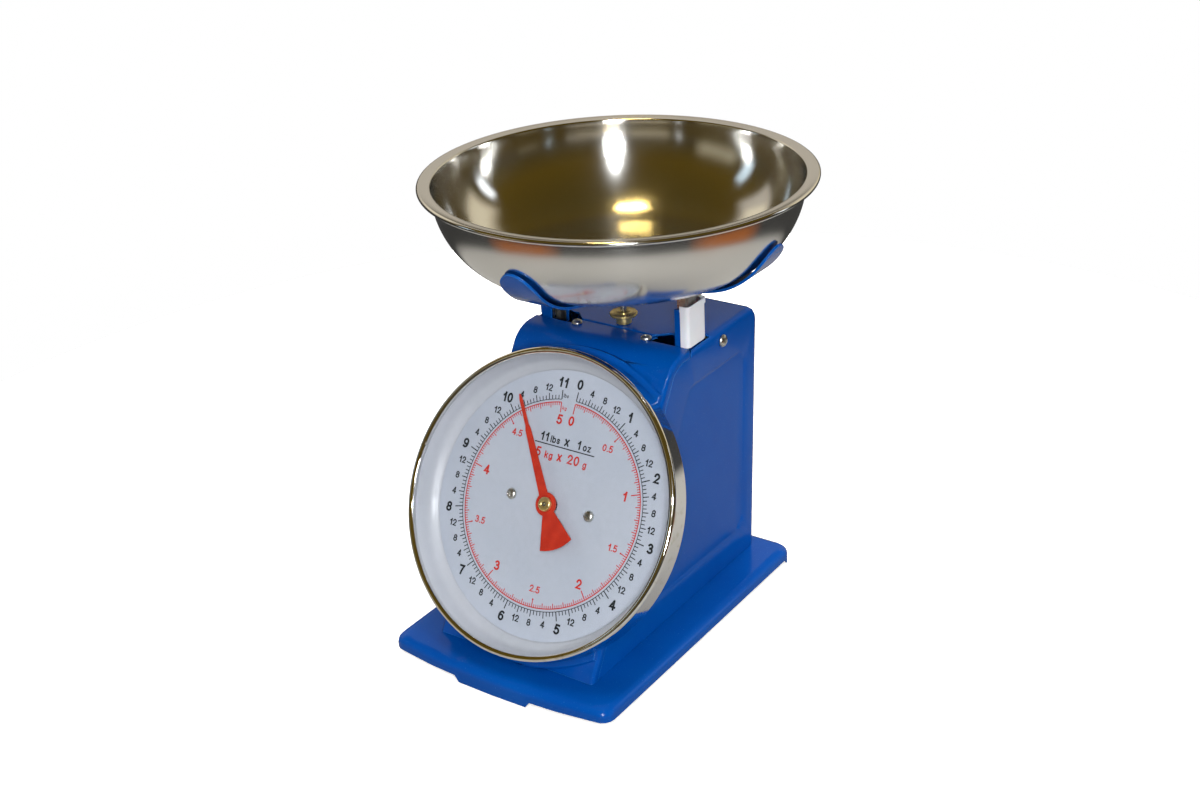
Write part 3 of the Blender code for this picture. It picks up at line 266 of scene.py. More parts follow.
def stainless_steel():
    tree = Tree("polished_stainless")
    tree.set(Metallic=1.0, Anisotropic=0.9, Anisotropic_Rotation=0.25)
    tree.join(Tangent=tree.add("Tangent", {"direction_type": "RADIAL", "axis": "Z"}).outputs[0])
    lines = tree.rings(2600)
    smear = tree.noise(22, 4)
    colour = tree.blend(tree.between(lines, 0, 1), (0.7, 0.685, 0.65), (0.78, 0.77, 0.745))
    rough = tree.math("ADD", tree.between(smear, 0.1, 0.14), tree.between(lines, 0, 0.05))
    tree.join(Base_Color=colour, Roughness=rough, Normal=tree.bump(lines, 0.01 * MM, 0.35))
    return tree.material


def chrome():
    tree = Tree("bright_chrome")
    tree.set(Metallic=1.0)
    stain = tree.between(tree.noise(160, 5), 0, 1, 0.56, 0.74)
    colour = tree.blend(tree.math("MULTIPLY", stain, 0.5), (0.86, 0.85, 0.82), (0.5, 0.42, 0.28))
    smooth = tree.between(tree.noise(50), 0.04, 0.09)
    rough = tree.math("ADD", smooth, tree.math("MULTIPLY", stain, 0.12))
    wave = tree.bump(tree.noise(60, 1), 0.02 * MM, 0.3)
    tree.join(Base_Color=colour, Roughness=rough, Normal=wave)
    return tree.material


def zinc_plated_steel():
    tree = Tree("zinc_plate")
    tree.set(Metallic=1.0)
    grain = tree.noise(260, 5, roughness=0.7)
    colour = tree.blend(tree.between(grain, 0, 1), (0.5, 0.5, 0.47), (0.72, 0.72, 0.68))
    rounded, edge = tree.edges(0.3 * MM)
    # Painted highlight: the metal is lighter along its edges.
    colour = tree.blend(tree.math("MULTIPLY", edge, 0.5), colour, (0.85, 0.85, 0.8))
    rough = tree.between(tree.noise(90, 4), 0.22, 0.4)
    grainy = tree.bump(grain, 0.02 * MM, 0.4, rounded)
    tree.join(Base_Color=colour, Roughness=rough, Normal=grainy)
    return tree.material


def spring_steel():
    tree = Tree("oiled_spring_wire")
    tree.set(Metallic=1.0)
    grain = tree.noise(400, 4)
    colour = tree.blend(tree.between(grain, 0, 1), (0.2, 0.2, 0.21), (0.4, 0.39, 0.38))
    rough = tree.between(tree.noise(120), 0.25, 0.42)
    tree.join(Base_Color=colour, Roughness=rough, Normal=tree.bump(grain, 0.02 * MM, 0.4))
    return tree.material


def brass():
    tree = Tree("turned_brass")
    tree.set(Metallic=0.9)
    grain = tree.noise(120, 5)
    tarnish = tree.between(tree.noise(60, 5), 0, 1, 0.45, 0.8)
    colour = tree.blend(tree.between(grain, 0, 1), (0.78, 0.58, 0.2), (0.9, 0.72, 0.33))
    colour = tree.blend(tree.math("MULTIPLY", tarnish, 0.35), colour, (0.5, 0.34, 0.12))
    rounded = tree.edges(0.25 * MM)[0]
    rough = tree.between(tree.noise(200), 0.26, 0.38)
    grainy = tree.bump(grain, 0.02 * MM, 0.4, rounded)
    tree.join(Base_Color=colour, Roughness=rough, Normal=grainy)
    return tree.material


def white_plastic():
    tree = Tree("white_moulded_plastic")
    tree.set(Subsurface_Weight=0.08, Subsurface_Scale=0.002, Specular_IOR_Level=0.5)
    cloud = tree.between(tree.noise(40, 4), 0, 1)
    colour = tree.blend(cloud, (0.74, 0.75, 0.8), (0.82, 0.83, 0.87))
    rounded, edge = tree.edges(0.4 * MM)
    # Painted highlight: the plastic is lighter along its edges.
    colour = tree.blend(tree.math("MULTIPLY", edge, 0.5), colour, (0.93, 0.93, 0.95))
    grain = tree.noise(900, 2)
    rough = tree.between(tree.noise(80), 0.3, 0.42)
    grainy = tree.bump(grain, 0.02 * MM, 0.35, rounded)
    tree.join(Base_Color=colour, Roughness=rough, Normal=grainy)
    return tree.material


def white_enamel():
    tree = Tree("white_enamel_dish")
    tree.set(Specular_IOR_Level=0.3, Coat_Weight=0.08, Coat_Roughness=0.2)
    cloud = tree.between(tree.noise(18, 3), 0, 1)
    colour = tree.blend(cloud, (0.46, 0.495, 0.56), (0.5, 0.53, 0.6))
    peel = tree.bump(tree.noise(350, 2), 0.02 * MM, 0.3)
    tree.join(Base_Color=colour, Roughness=tree.between(tree.noise(60), 0.34, 0.46), Normal=peel)
    return tree.material


def printed_face():
    tree = Tree("printed_dial_card")
    tree.set(Specular_IOR_Level=0.35)
    cloud = tree.between(tree.noise(25, 4), 0, 1)
    colour = tree.blend(cloud, (0.45, 0.505, 0.61), (0.49, 0.54, 0.64))
    fibre = tree.noise(1600, 3)
    speck = tree.between(tree.noise(700, 2), 0, 1, 0.72, 0.78)
    colour = tree.blend(tree.math("MULTIPLY", speck, 0.3), colour, (0.45, 0.44, 0.5))
    rough = tree.between(tree.noise(120), 0.42, 0.55)
    tree.join(Base_Color=colour, Roughness=rough, Normal=tree.bump(fibre, 0.01 * MM, 0.3))
    return tree.material


def ink(name, first, second):
    tree = Tree(name)
    tree.set(Specular_IOR_Level=0.3)
    cover = tree.noise(1100, 3)
    colour = tree.blend(tree.between(cover, 0, 1), first, second)
    rough = tree.between(cover, 0.4, 0.55)
    tree.join(Base_Color=colour, Roughness=rough, Normal=tree.bump(cover, 0.01 * MM, 0.4))
    return tree.material


def red_paint():
    tree = Tree("red_pointer_paint")
    tree.set(Specular_IOR_Level=0.4)
    cloud = tree.noise(160, 4)
    colour = tree.blend(tree.between(cloud, 0, 1), (0.44, 0.016, 0.003), (0.56, 0.028, 0.006))
    rounded, edge = tree.edges(0.25 * MM)
    # Painted highlight: the red turns lighter along its edges.
    colour = tree.blend(tree.math("MULTIPLY", edge, 0.3), colour, (0.8, 0.15, 0.08))
    rough = tree.between(cloud, 0.32, 0.46)
    grainy = tree.bump(tree.noise(800), 0.02 * MM, 0.3, rounded)
    tree.join(Base_Color=colour, Roughness=rough, Normal=grainy)
    return tree.material


def rubber():
    tree = Tree("black_rubber")
    tree.set(Specular_IOR_Level=0.3)
    grain = tree.noise(500, 4)
    colour = tree.blend(tree.between(grain, 0, 1), (0.012, 0.012, 0.013), (0.035, 0.035, 0.034))
    rough = tree.between(grain, 0.6, 0.85)
    tree.join(Base_Color=colour, Roughness=rough, Normal=tree.bump(grain, 0.08 * MM, 0.6))
    return tree.material


def clear_plastic():
    """A thin flat lens: what is behind shows, with a faint sheen over it."""
    tree = Tree("clear_lens")
    tree.set(Specular_IOR_Level=1.0, IOR=1.5, Coat_Weight=0.5, Coat_Roughness=0.02)
    scuff = tree.noise(300, 5)
    tint = tree.blend(tree.between(scuff, 0, 1), (0.04, 0.045, 0.055), (0.1, 0.11, 0.13))
    tree.join(
        Base_Color=tint,
        Roughness=tree.between(scuff, 0.02, 0.07),
        Alpha=tree.between(scuff, 0.03, 0.05),
        Normal=tree.bump(scuff, 0.01 * MM, 0.1),
    )
    return tree.material


MATERIALS = {
    "blue_paint": blue_paint(),
    "stainless_steel": stainless_steel(),
    "chrome": chrome(),
    "zinc_plated_steel": zinc_plated_steel(),
    "spring_steel": spring_steel(),
    "brass": brass(),
    "white_plastic": white_plastic(),
    "white_enamel": white_enamel(),
    "printed_face": printed_face(),
    "red_paint": red_paint(),
    "rubber": rubber(),
    "clear_plastic": clear_plastic(),
}
BLACK_INK = ink("black_print", (0.006, 0.008, 0.011), (0.016, 0.02, 0.026))
RED_INK = ink("red_print", (0.5, 0.02, 0.014), (0.6, 0.035, 0.025))

SLOT_OF = {}
for node, thing in NODES.items():
    for holder in thing.material_slots:
        SLOT_OF[node] = holder.material.name.split(".")[0]
        holder.material = MATERIALS[SLOT_OF[node]]


# Pieces


def piece(name, mesh, node, surface=None, place=None, sharp=35):
    """A mesh on the body of a CAD node, with its slot. Without a surface it replaces the node."""
    made = add_object(name, mesh)
    if place is not None:
        made.matrix_world = place
    mesh.materials.clear()
    mesh.materials.append(surface or MATERIALS[SLOT_OF[node]])
    mesh.shade_smooth()
    mesh.set_sharp_from_angle(angle=math.radians(sharp))
    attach(made, BODY_OF[node])
    if surface is None:
        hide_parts(node)
    return made


def round_edges(thing, width, segments=3, angle=35):
    step = thing.modifiers.new("round", "BEVEL")
    step.width = width
    step.segments = segments
    step.limit_method = "ANGLE"
    step.angle_limit = math.radians(angle)
    step.harden_normals = False
    even_out(thing)


def even_out(thing):
    """Let large flat faces keep their own direction beside small bends."""
    even = thing.modifiers.new("even", "WEIGHTED_NORMAL")
    even.keep_sharp = True
    even.weight = 65


def mesh_from(shape, name):
    mesh = bpy.data.meshes.new(name)
    shape.to_mesh(mesh)
    shape.free()
    return mesh


def refined(node, width=0.0):
    """The CAD node's own shape, joined and shaded smooth, with edges rounded by a width."""
    shape = bmesh.new()
    shape.from_mesh(NODES[node].data)
    bmesh.ops.remove_doubles(shape, verts=shape.verts, dist=0.002 * MM)
    if width:
        limit = math.radians(0.4)
        bmesh.ops.dissolve_limit(shape, angle_limit=limit, verts=shape.verts, edges=shape.edges)
    mesh = mesh_from(shape, node + "_fine")
    made = piece(node + "_fine", mesh, node)
    if width:
        round_edges(made, width)
    else:
        even_out(made)


def lathe(name, profile, node, steps=160, place=None, sharp=35, ring=True):
    """A profile of (radius, height) in metres turned about z. A ring closes on itself."""
    shape = bmesh.new()
    rows = []
    for radius, height in profile:
        if radius < 1e-7:
            rows.append([shape.verts.new((0, 0, height))])
            continue
        turns = [2 * math.pi * i / steps for i in range(steps)]
        around = [(radius * math.cos(turn), radius * math.sin(turn)) for turn in turns]
        rows.append([shape.verts.new((*point, height)) for point in around])
    pairs = list(zip(rows, rows[1:]))
    if ring:
        pairs.append((rows[-1], rows[0]))
    for first, second in pairs:
        for i in range(steps):
            j = (i + 1) % steps
            corners = [(first, i), (second, i), (second, j), (first, j)]
            corners = list(dict.fromkeys(row[k % len(row)] for row, k in corners))
            if len(corners) > 2:
                shape.faces.new(corners)
    bmesh.ops.recalc_face_normals(shape, faces=shape.faces)
    return piece(name, mesh_from(shape, name), node, place=place, sharp=sharp)


def arc(centre, radius, start, end, steps):
    angles = [math.radians(start + (end - start) * i / steps) for i in range(steps + 1)]
    return [(centre[0] + radius * math.cos(a), centre[1] + radius * math.sin(a)) for a in angles]


# Bowl


def bowl():
    """Spun steel: flat floor, elliptical wall, flat rim and a rolled edge."""
    reach = BOWL_HIGH.x
    floor = BOWL_LOW.z
    curl = RIM_CURL
    sheet = BOWL_SHEET
    wall_top = BOWL_HIGH.z - curl - RIM_RISE
    lip = reach - RIM_WIDTH
    wide = lip - FLAT_RADIUS
    tall = wall_top - floor
    steps = 28
    outer = []
    inner = []
    for i in range(steps + 1):
        angle = math.radians(90 * i / steps)
        outer.append((FLAT_RADIUS + wide * math.sin(angle), wall_top - tall * math.cos(angle)))
        inside = FLAT_RADIUS + (wide - sheet) * math.sin(angle)
        drop = (tall - sheet + RIM_RISE) * math.cos(angle)
        inner.append((inside, wall_top + RIM_RISE - drop))
    bend = arc((lip + 0.2 * MM, wall_top + 0.4 * MM), 0.9 * MM, 175, 95, 4)
    rim = bend + [(lip + 2 * MM, wall_top + 1.35 * MM), (reach - 4 * MM, wall_top + 1.35 * MM)]
    rim += arc((reach - curl, wall_top + RIM_RISE), curl, 105, -120, 14)
    rim += [(reach - 3.4 * MM, wall_top + 0.75 * MM), (lip + 1.2 * MM, wall_top + 0.55 * MM)]
    floor_rings = [(0, floor + sheet)] + [(r * MM, floor + sheet) for r in (12, 30, 45, 56)]
    under = [(r * MM, floor) for r in (56, 30)] + [(0, floor)]
    profile = floor_rings + inner[:-1] + rim + outer[::-1] + under
    lathe("bowl_spun", profile, "bowl", steps=224, place=BOWL_AXIS, sharp=50, ring=False)


# Dial


def dial_rings():
    bezel_low, bezel_high = extent("bezel", DIAL)
    outer = bezel_high.x - 0.3 * MM
    depth = bezel_low.z
    inner = outer - 1 * MM
    profile = arc((outer - 2.7 * MM, -1.3 * MM), 1 * MM, 215, 120, 5)
    profile += arc((outer - 1.7 * MM, -1.9 * MM), 1.9 * MM, 105, 0, 12)
    profile += [(outer + 0.28 * MM, -2.2 * MM), (outer + 0.1 * MM, -2.9 * MM), (outer, -3.3 * MM)]
    profile += [(outer, depth + 0.6 * MM), (outer - 0.15 * MM, depth + 0.1 * MM)]
    profile += [(outer - 0.3 * MM, depth)]
    profile += [(inner, depth), (inner, -2.6 * MM), (outer - 3.2 * MM, -2.6 * MM)]
    lathe("bezel_ring", profile, "bezel", steps=224, place=DIAL, sharp=40)

    lens_low, lens_high = extent("lens", DIAL)
    rim = lens_high.x
    profile = [(0, lens_high.z), (rim - 0.2 * MM, lens_high.z), (rim, lens_high.z - 0.2 * MM)]
    profile += [(rim, lens_low.z + 0.2 * MM), (rim - 0.2 * MM, lens_low.z), (0, lens_low.z)]
    lathe("lens_disc", profile, "lens", steps=160, place=DIAL, ring=False)

    face_low, face_high = extent("dial_face", DIAL)
    hole = 5 * MM
    radius = face_high.x
    profile = [(hole, face_high.z), (radius - 0.1 * MM, face_high.z)]
    profile += [(radius, face_high.z - 0.08 * MM), (radius, face_low.z), (hole, face_low.z)]
    lathe("dial_card", profile, "dial_face", steps=192, place=DIAL)

    case_low, case_high = extent("dial_case", DIAL)
    top = case_high.z
    base = face_high.z
    inside = [
        (0, base - 0.5 * MM),
        (1.0, base + 0.5 * MM),
        (2.6, base + 1.6 * MM),
        (4.5, base + 3.2 * MM),
        (5.7, base + 5.0 * MM),
        (6.5, base + 7.0 * MM),
        (7.4, base + 9.3 * MM),
        (8.6, top),
    ]
    inside = [(radius + 0.3 * MM + r * MM, h) for r, h in smooth_path(inside, 4)]
    rim = case_high.x
    outside = [(r + 0.8 * MM, max(h - 0.6 * MM, case_low.z)) for r, h in inside[1:-1]]
    profile = [(hole, base - 0.5 * MM)] + inside + [(rim, top), (rim, top - 0.8 * MM)]
    profile += outside[::-1] + [(radius, case_low.z), (hole, case_low.z)]
    lathe("dial_dish", profile, "dial_case", steps=192, place=DIAL, sharp=40)


def smooth_path(points, between):
    """More points on a smooth curve through these."""
    made = []
    count = len(points)
    for i in range(count - 1):
        p = [Vector(points[max(0, min(count - 1, i + k))]) for k in (-1, 0, 1, 2)]
        for step in range(between):
            t = step / between
            a = 2 * p[1] + (p[2] - p[0]) * t
            b = (2 * p[0] - 5 * p[1] + 4 * p[2] - p[3]) * t * t
            c = (3 * p[1] - p[0] - 3 * p[2] + p[3]) * t * t * t
            made.append(tuple((a + b + c) / 2))
    made.append(tuple(points[-1]))
    return made


# Dial print, in millimetres and in degrees clockwise from the top of the dial

ZERO = 0.39
POUND = 31.88
KILO = 70.14
POUNDS = 11
KILOS = 5
OUNCES = 16
STEPS_IN_KILO = 50
INK_HEIGHT = 0.03 * MM
BLACK_RING = 61.7
RED_RING = 60

# Every so many marks: how far a tick reaches, and its width
OUNCE_TICKS = ((16, 67.1, 0.64), (4, 65.5, 0.56), (1, 64.2, 0.52))
GRAM_TICKS = ((50, 54.0, 0.66), (25, 55.5, 0.6), (5, 56.9, 0.55), (1, 58.1, 0.5))

# The capacity lines: text, size and left end of each part
LINE_SIZE = 4.6
POUND_LINE = 37.4
POUND_TEXT = [("11", 5.3, -17.6), ("lbs", 4.1, -10.4), ("x", 5.6, -0.6)]
POUND_TEXT += [("1", 5.3, 8.4), ("oz", 4.3, 12.4)]
KILO_LINE = 27.8
KILO_TEXT = [("5", 5.6, -18.6), ("kg", 4.2, -12.0), ("x", 5.6, -3.2)]
KILO_TEXT += [("20", 5.7, 3.9), ("g", 4.0, 15.0)]


def spot(radius, angle):
    a = math.radians(angle)
    return Vector((radius * math.sin(a), radius * math.cos(a)))


def tick(shape, inner, outer, angle, width, height):
    """A thin raised bar of ink along a radius."""
    side = spot(width / 2, angle + 90)
    corners = []
    for radius, way in ((inner, -1), (outer, -1), (outer, 1), (inner, 1)):
        corners.append(spot(radius, angle) + side * way)
    add_prism(shape, corners, height)


def add_prism(shape, corners, height):
    """An outline in millimetres raised to a height in metres."""
    low = [shape.verts.new((x * MM, y * MM, 0)) for x, y in corners]
    high = [shape.verts.new((x * MM, y * MM, height)) for x, y in corners]
    shape.faces.new(high)
    shape.faces.new(low[::-1])
    count = len(corners)
    for i in range(count):
        j = (i + 1) % count
        shape.faces.new((low[i], low[j], high[j], high[i]))


def add_bar(shape, rows, closed=False):
    """Faces around rows of four corners, with both ends capped unless it is closed."""
    pairs = list(zip(rows, rows[1:]))
    if closed:
        pairs.append((rows[-1], rows[0]))
    for first, second in pairs:
        for k in range(4):
            m = (k + 1) % 4
            shape.faces.new((first[k], first[m], second[m], second[k]))
    if not closed:
        shape.faces.new(rows[0][::-1])
        shape.faces.new(rows[-1])


def ring_line(shape, radius, start, end, width, height, step=2.0):
    """A thin line of ink round the dial."""
    count = max(1, round((end - start) / step))
    rows = []
    for i in range(count + 1):
        angle = start + (end - start) * i / count
        inner = spot(radius - width / 2, angle) * MM
        outer = spot(radius + width / 2, angle) * MM
        corners = ((inner, 0), (inner, height), (outer, height), (outer, 0))
        rows.append([shape.verts.new((*point, level)) for point, level in corners])
    add_bar(shape, rows)


def bow(x, y, wide, tall, start, end, steps=16):
    """Points on part of an ellipse, in the unit box of a letter."""
    return [(x + wide * px, y + tall * py) for px, py in arc((0, 0), 1, start, end, steps)]


def round_loop(y, tall, wide=0.5, steps=24):
    return bow(0.5, y, wide, tall, 0, 360, steps)


SIX = [round_loop(0.31, 0.31), bow(0.66, 0.42, 0.66, 0.58, 195, 58, 12)]
HOOK = [(0.95, 0.57), (0.72, 0.69), (0.5, 0.72), (0.25, 0.69), (0.07, 0.56), (0.2, 0.43)]
HOOK += [(0.5, 0.37), (0.8, 0.3), (0.95, 0.16), (0.78, 0.03), (0.5, -0.01), (0.22, 0.03), (0.03, 0.16)]
THREE = [bow(0.46, 0.76, 0.44, 0.24, 152, -90, 12), bow(0.46, 0.27, 0.54, 0.27, 90, -143, 14)]
FIVE = [[(0.92, 1), (0.2, 1), (0.08, 0.52)], bow(0.45, 0.3, 0.55, 0.32, 122, -146, 16)]
TAIL = [(1, 0.7), (1, 0)] + bow(0.5, -0.06, 0.5, 0.24, 0, -150, 9)
LETTER_GAP = 0.13

# Each letter: space on its left, width, and the middle lines of its strokes in a unit box
LETTERS = {
    "0": (0, 0.66, [round_loop(0.5, 0.5)]),
    "1": (0.1, 0.4, [[(1, 0), (1, 1)], [(1, 0.98), (0.5, 0.78), (0, 0.7)]]),
    "2": (0, 0.66, [bow(0.5, 0.7, 0.47, 0.3, 172, -38, 14) + [(0.04, 0), (1, 0)]]),
    "3": (0, 0.64, THREE),
    "4": (0, 0.7, [[(0.72, 0), (0.72, 1)], [(0.68, 1), (0, 0.28), (1, 0.28)]]),
    "5": (0, 0.65, FIVE),
    "6": (0, 0.66, SIX),
    "7": (0, 0.64, [[(0, 1), (1, 1), (0.68, 0.62), (0.48, 0.3), (0.38, 0)]]),
    "8": (0, 0.66, [round_loop(0.76, 0.24, 0.43), round_loop(0.27, 0.27)]),
    "9": (0, 0.66, [[(1 - x, 1 - y) for x, y in path] for path in SIX]),
    ".": (0, 0.17, [[(0, 0), (0, 0.01)]]),
    "b": (0, 0.62, [[(0, 0), (0, 1)], round_loop(0.35, 0.36)]),
    "g": (0, 0.62, [round_loop(0.35, 0.36), TAIL]),
    "k": (0, 0.58, [[(0, 0), (0, 1)], [(0.95, 0.7), (0, 0.26)], [(0.38, 0.44), (1, 0)]]),
    "l": (0, 0.17, [[(0, 0), (0, 1)]]),
    "o": (0, 0.62, [round_loop(0.35, 0.36)]),
    "s": (0, 0.56, [HOOK]),
    "x": (0, 0.58, [[(0.03, 0), (0.97, 0.7)], [(0.03, 0.7), (0.97, 0)]]),
    "z": (0, 0.54, [[(0.02, 0.7), (0.97, 0.7), (0.03, 0), (1, 0)]]),
}


def stroke(shape, points, width, height):
    """A raised ribbon along a line of points, in millimetres. A line that meets itself is closed."""
    points = [Vector(point) for point in points]
    closed = (points[0] - points[-1]).length < 1e-6
    if closed:
        points.pop()
    else:
        for end, inner in ((0, 1), (-1, -2)):
            points[end] = points[end] + (points[end] - points[inner]).normalized() * width / 2
    count = len(points)
    rows = []
    for i, point in enumerate(points):
        before = points[i - 1] if i or closed else None
        after = points[(i + 1) % count] if i < count - 1 or closed else None
        ways = [(point - before).normalized()] if before is not None else []
        ways += [(after - point).normalized()] if after is not None else []
        along = sum(ways, Vector((0, 0))).normalized()
        reach = width / 2 / max(along.dot(ways[0]), 0.55)
        side = Vector((-along.y, along.x)) * reach
        left, right = point + side, point - side
        corners = ((left, 0), (left, height), (right, height), (right, 0))
        rows.append([shape.verts.new((c.x * MM, c.y * MM, level)) for c, level in corners])
    add_bar(shape, rows, closed)


def lettering(shape, text, size, centre, weight, align="CENTER"):
    """Text of a given height in millimetres as thin raised ink. Weight is the stroke's share of it."""
    width = weight * size
    pen = 0
    paths = []
    for letter in text:
        space, wide, strokes = LETTERS[letter]
        pen += space * size if pen else 0
        room = max(wide * size - width, 0)
        left = pen + width / 2
        rise = size - width
        for path in strokes:
            paths.append([(left + x * room, width / 2 + y * rise) for x, y in path])
        pen += (wide + LETTER_GAP) * size
    start = centre[0]
    if align == "CENTER":
        start -= (pen - LETTER_GAP * size) / 2
    for number, path in enumerate(paths):
        moved = [(start + x, centre[1] - size / 2 + y) for x, y in path]
        # Strokes that cross end at slightly different heights
        stroke(shape, moved, width, INK_HEIGHT * (1 + 0.02 * (number % 3)))


def tick_size(number, sizes):
    """The reach and width of the longest tick that this mark can be."""
    return next((reach, width) for every, reach, width in sizes if number % every == 0)


def capacity_line(shape, parts, height):
    for text, size, left in parts:
        lettering(shape, text, size, (left, height + (size - LINE_SIZE) / 2), 0.18, "LEFT")


def print_pounds(end):
    """The outer scale in black, one tick to the ounce, and the line on capacity."""
    black = bmesh.new()
    ring_line(black, BLACK_RING, ZERO, end, 0.42, INK_HEIGHT)
    for ounce in range(OUNCES * POUNDS + 1):
        angle = ZERO + POUND * ounce / OUNCES
        reach, width = tick_size(ounce, OUNCE_TICKS)
        tick(black, BLACK_RING + 0.1, reach, angle, width, INK_HEIGHT)
        part = ounce % OUNCES
        if part in (4, 8, 12):
            lettering(black, str(part), 4.1, spot(68.9, angle), 0.19)
    for pound in range(POUNDS + 1):
        lettering(black, str(pound), 6.0, spot(71.6, ZERO + POUND * pound), 0.21)
    lettering(black, "lbs", 2.2, spot(63.8, -6.4), 0.16)
    capacity_line(black, POUND_TEXT, POUND_LINE)
    bar = [(-20.8, 33.3), (21.3, 33.3), (21.3, 33.95), (-20.8, 33.95)]
    add_prism(black, bar, INK_HEIGHT)
    lay_print(black, "print_black", BLACK_INK)


def print_kilos(end):
    """The inner scale in red, one tick to 20 g, with a dot at each half kilo."""
    red = bmesh.new()
    ring_line(red, RED_RING, ZERO, end, 0.6, INK_HEIGHT)
    for number in range(STEPS_IN_KILO * KILOS + 1):
        angle = ZERO + KILO * number / STEPS_IN_KILO
        reach, width = tick_size(number, GRAM_TICKS)
        tick(red, reach, RED_RING - 0.1, angle, width, INK_HEIGHT)
        if number % STEPS_IN_KILO == STEPS_IN_KILO // 2:
            middle = spot(55.4, angle)
            dot = [tuple(middle + spot(0.55, -turn)) for turn in range(0, 360, 30)]
            add_prism(red, dot, INK_HEIGHT)
            lettering(red, f"{number / STEPS_IN_KILO:.1f}", 4.1, spot(49.4, angle), 0.18)
    for kilo in range(KILOS + 1):
        lettering(red, str(kilo), 5.8, spot(50, ZERO + KILO * kilo), 0.2)
    lettering(red, "kg", 2.2, spot(56.6, -6.4), 0.16)
    capacity_line(red, KILO_TEXT, KILO_LINE)
    lay_print(red, "print_red", RED_INK)


def lay_print(shape, name, surface):
    """Set the print just above the card, as a second piece on its body."""
    face_top = extent("dial_face", DIAL)[1].z
    lift = Matrix.Translation((0, 0, face_top + 0.02 * MM))
    mesh = mesh_from(shape, name)
    piece(name, mesh, "dial_face", surface=surface, place=DIAL @ lift, sharp=20)


# Pointer, knob and screws


def pointer_and_hub():
    refined("pointer", 0.12 * MM)
    low, high = extent("pointer_hub", DIAL)
    radius = high.x
    profile = [(1.35 * MM, high.z - 0.5 * MM), (1.7 * MM, high.z - 0.15 * MM), (2.0 * MM, high.z)]
    profile += [(radius - 0.9 * MM, high.z), (radius - 0.3 * MM, high.z - 0.35 * MM)]
    profile += [(radius, high.z - 0.9 * MM), (radius, low.z), (1.35 * MM, low.z)]
    lathe("pointer_nut", profile, "pointer_hub", steps=64, place=DIAL, sharp=50)
    refined("pinion_shaft")


def knob():
    """A thumb nut with a straight knurl round its disc."""
    low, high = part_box("zero_knob")
    seat = Matrix.Translation(((low.x + high.x) / 2, (low.y + high.y) / 2, low.z))
    radius = high.x
    bore = 2.3 * MM
    shape = [
        (bore, 7.2), (bore + 0.35 * MM, 7.6), (4.2 * MM, 7.6), (4.5 * MM, 7.35), (4.6 * MM, 6.9),
        (7.7 * MM, 6.75), (8.05 * MM, 6.55), (radius, 6.2), (radius, 5.4), (8.05 * MM, 5.05),
        (7.7 * MM, 4.9), (4.6 * MM, 4.75), (4.6 * MM, 0.2), (4.4 * MM, 0), (bore, 0),
    ]
    teeth = 120
    profile = [(r, h * MM) for r, h in shape]
    made = lathe("zero_nut", profile, "zero_knob", steps=teeth, place=seat, sharp=40)
    for vert in made.data.vertices:
        out = math.hypot(vert.co.x, vert.co.y)
        if out > radius - 0.1 * MM:
            turn = round(math.atan2(vert.co.y, vert.co.x) * teeth / (2 * math.pi))
            shrink = 1 - (0.022 if turn % 2 else 0)
            vert.co.x *= shrink
            vert.co.y *= shrink


def screw(node, direction, turn=20):
    """A pan head with a cross recess, as wide and deep as the CAD screw."""
    first = frame_at(Vector((0, 0, 0)), direction)
    low, high = extent(node, first)
    radius = (high.x - low.x) / 2
    height = 0.62 * radius
    centre = Vector(((low.x + high.x) / 2, (low.y + high.y) / 2, high.z - height))
    place = first @ Matrix.Translation(centre) @ Matrix.Rotation(math.radians(turn), 4, "Z")
    shank = 0.45 * radius
    dome = [(0, height), (0.3 * radius, 0.985 * height), (0.55 * radius, 0.92 * height)]
    dome += [(0.76 * radius, 0.78 * height), (0.91 * radius, 0.55 * height)]
    dome += [(0.99 * radius, 0.28 * height)]
    end = low.z - centre.z
    dome += [(radius, 0.1 * height), (0.97 * radius, 0), (shank, 0), (shank, end), (0, end)]
    made = lathe(node + "_pan", dome, node, steps=40, place=place, sharp=45, ring=False)
    arm = 0.5 * radius
    half = 0.11 * radius
    floor = 0.35 * height
    cutter = bmesh.new()
    outline = [(half, half), (half, arm), (-half, arm), (-half, half), (-arm, half), (-arm, -half)]
    outline += [(-half, -half), (-half, -arm), (half, -arm), (half, -half), (arm, -half), (arm, half)]
    low_ring = [cutter.verts.new((x * 0.55, y * 0.55, floor)) for x, y in outline]
    high_ring = [cutter.verts.new((x * 1.1, y * 1.1, 1.5 * height)) for x, y in outline]
    cutter.faces.new(low_ring)
    cutter.faces.new(high_ring)
    count = len(outline)
    for i in range(count):
        j = (i + 1) % count
        cutter.faces.new((low_ring[i], low_ring[j], high_ring[j], high_ring[i]))
    bmesh.ops.recalc_face_normals(cutter, faces=cutter.faces)
    tool = add_object("recess", mesh_from(cutter, "recess"))
    tool.matrix_world = place
    step = made.modifiers.new("recess", "BOOLEAN")
    step.operation = "DIFFERENCE"
    step.object = tool
    bpy.context.view_layer.update()
    graph = bpy.context.evaluated_depsgraph_get()
    cut = bpy.data.meshes.new_from_object(made.evaluated_get(graph))
    made.modifiers.clear()
    cut.shade_smooth()
    cut.set_sharp_from_angle(angle=math.radians(45))
    made.data = cut
    bpy.data.objects.remove(tool)


def screws():
    towards = DIAL.to_3x3() @ Vector((0, 0, 1))
    for side, name in ((-1, "left"), (1, "right")):
        screw(f"panel_screw_{name}", (0, 0, 1), 25 + 30 * side)
        screw(f"side_screw_{name}", (side, 0, 0), 12)
        screw(f"face_screw_{name}", towards, 40 + 25 * side)
        screw(f"bracket_screw_{name}", (side, 0, 0), 33)
    for index in range(1, 5):
        screw(f"base_screw_{index}", (0, 0, -1), 17 * index)


# Platform


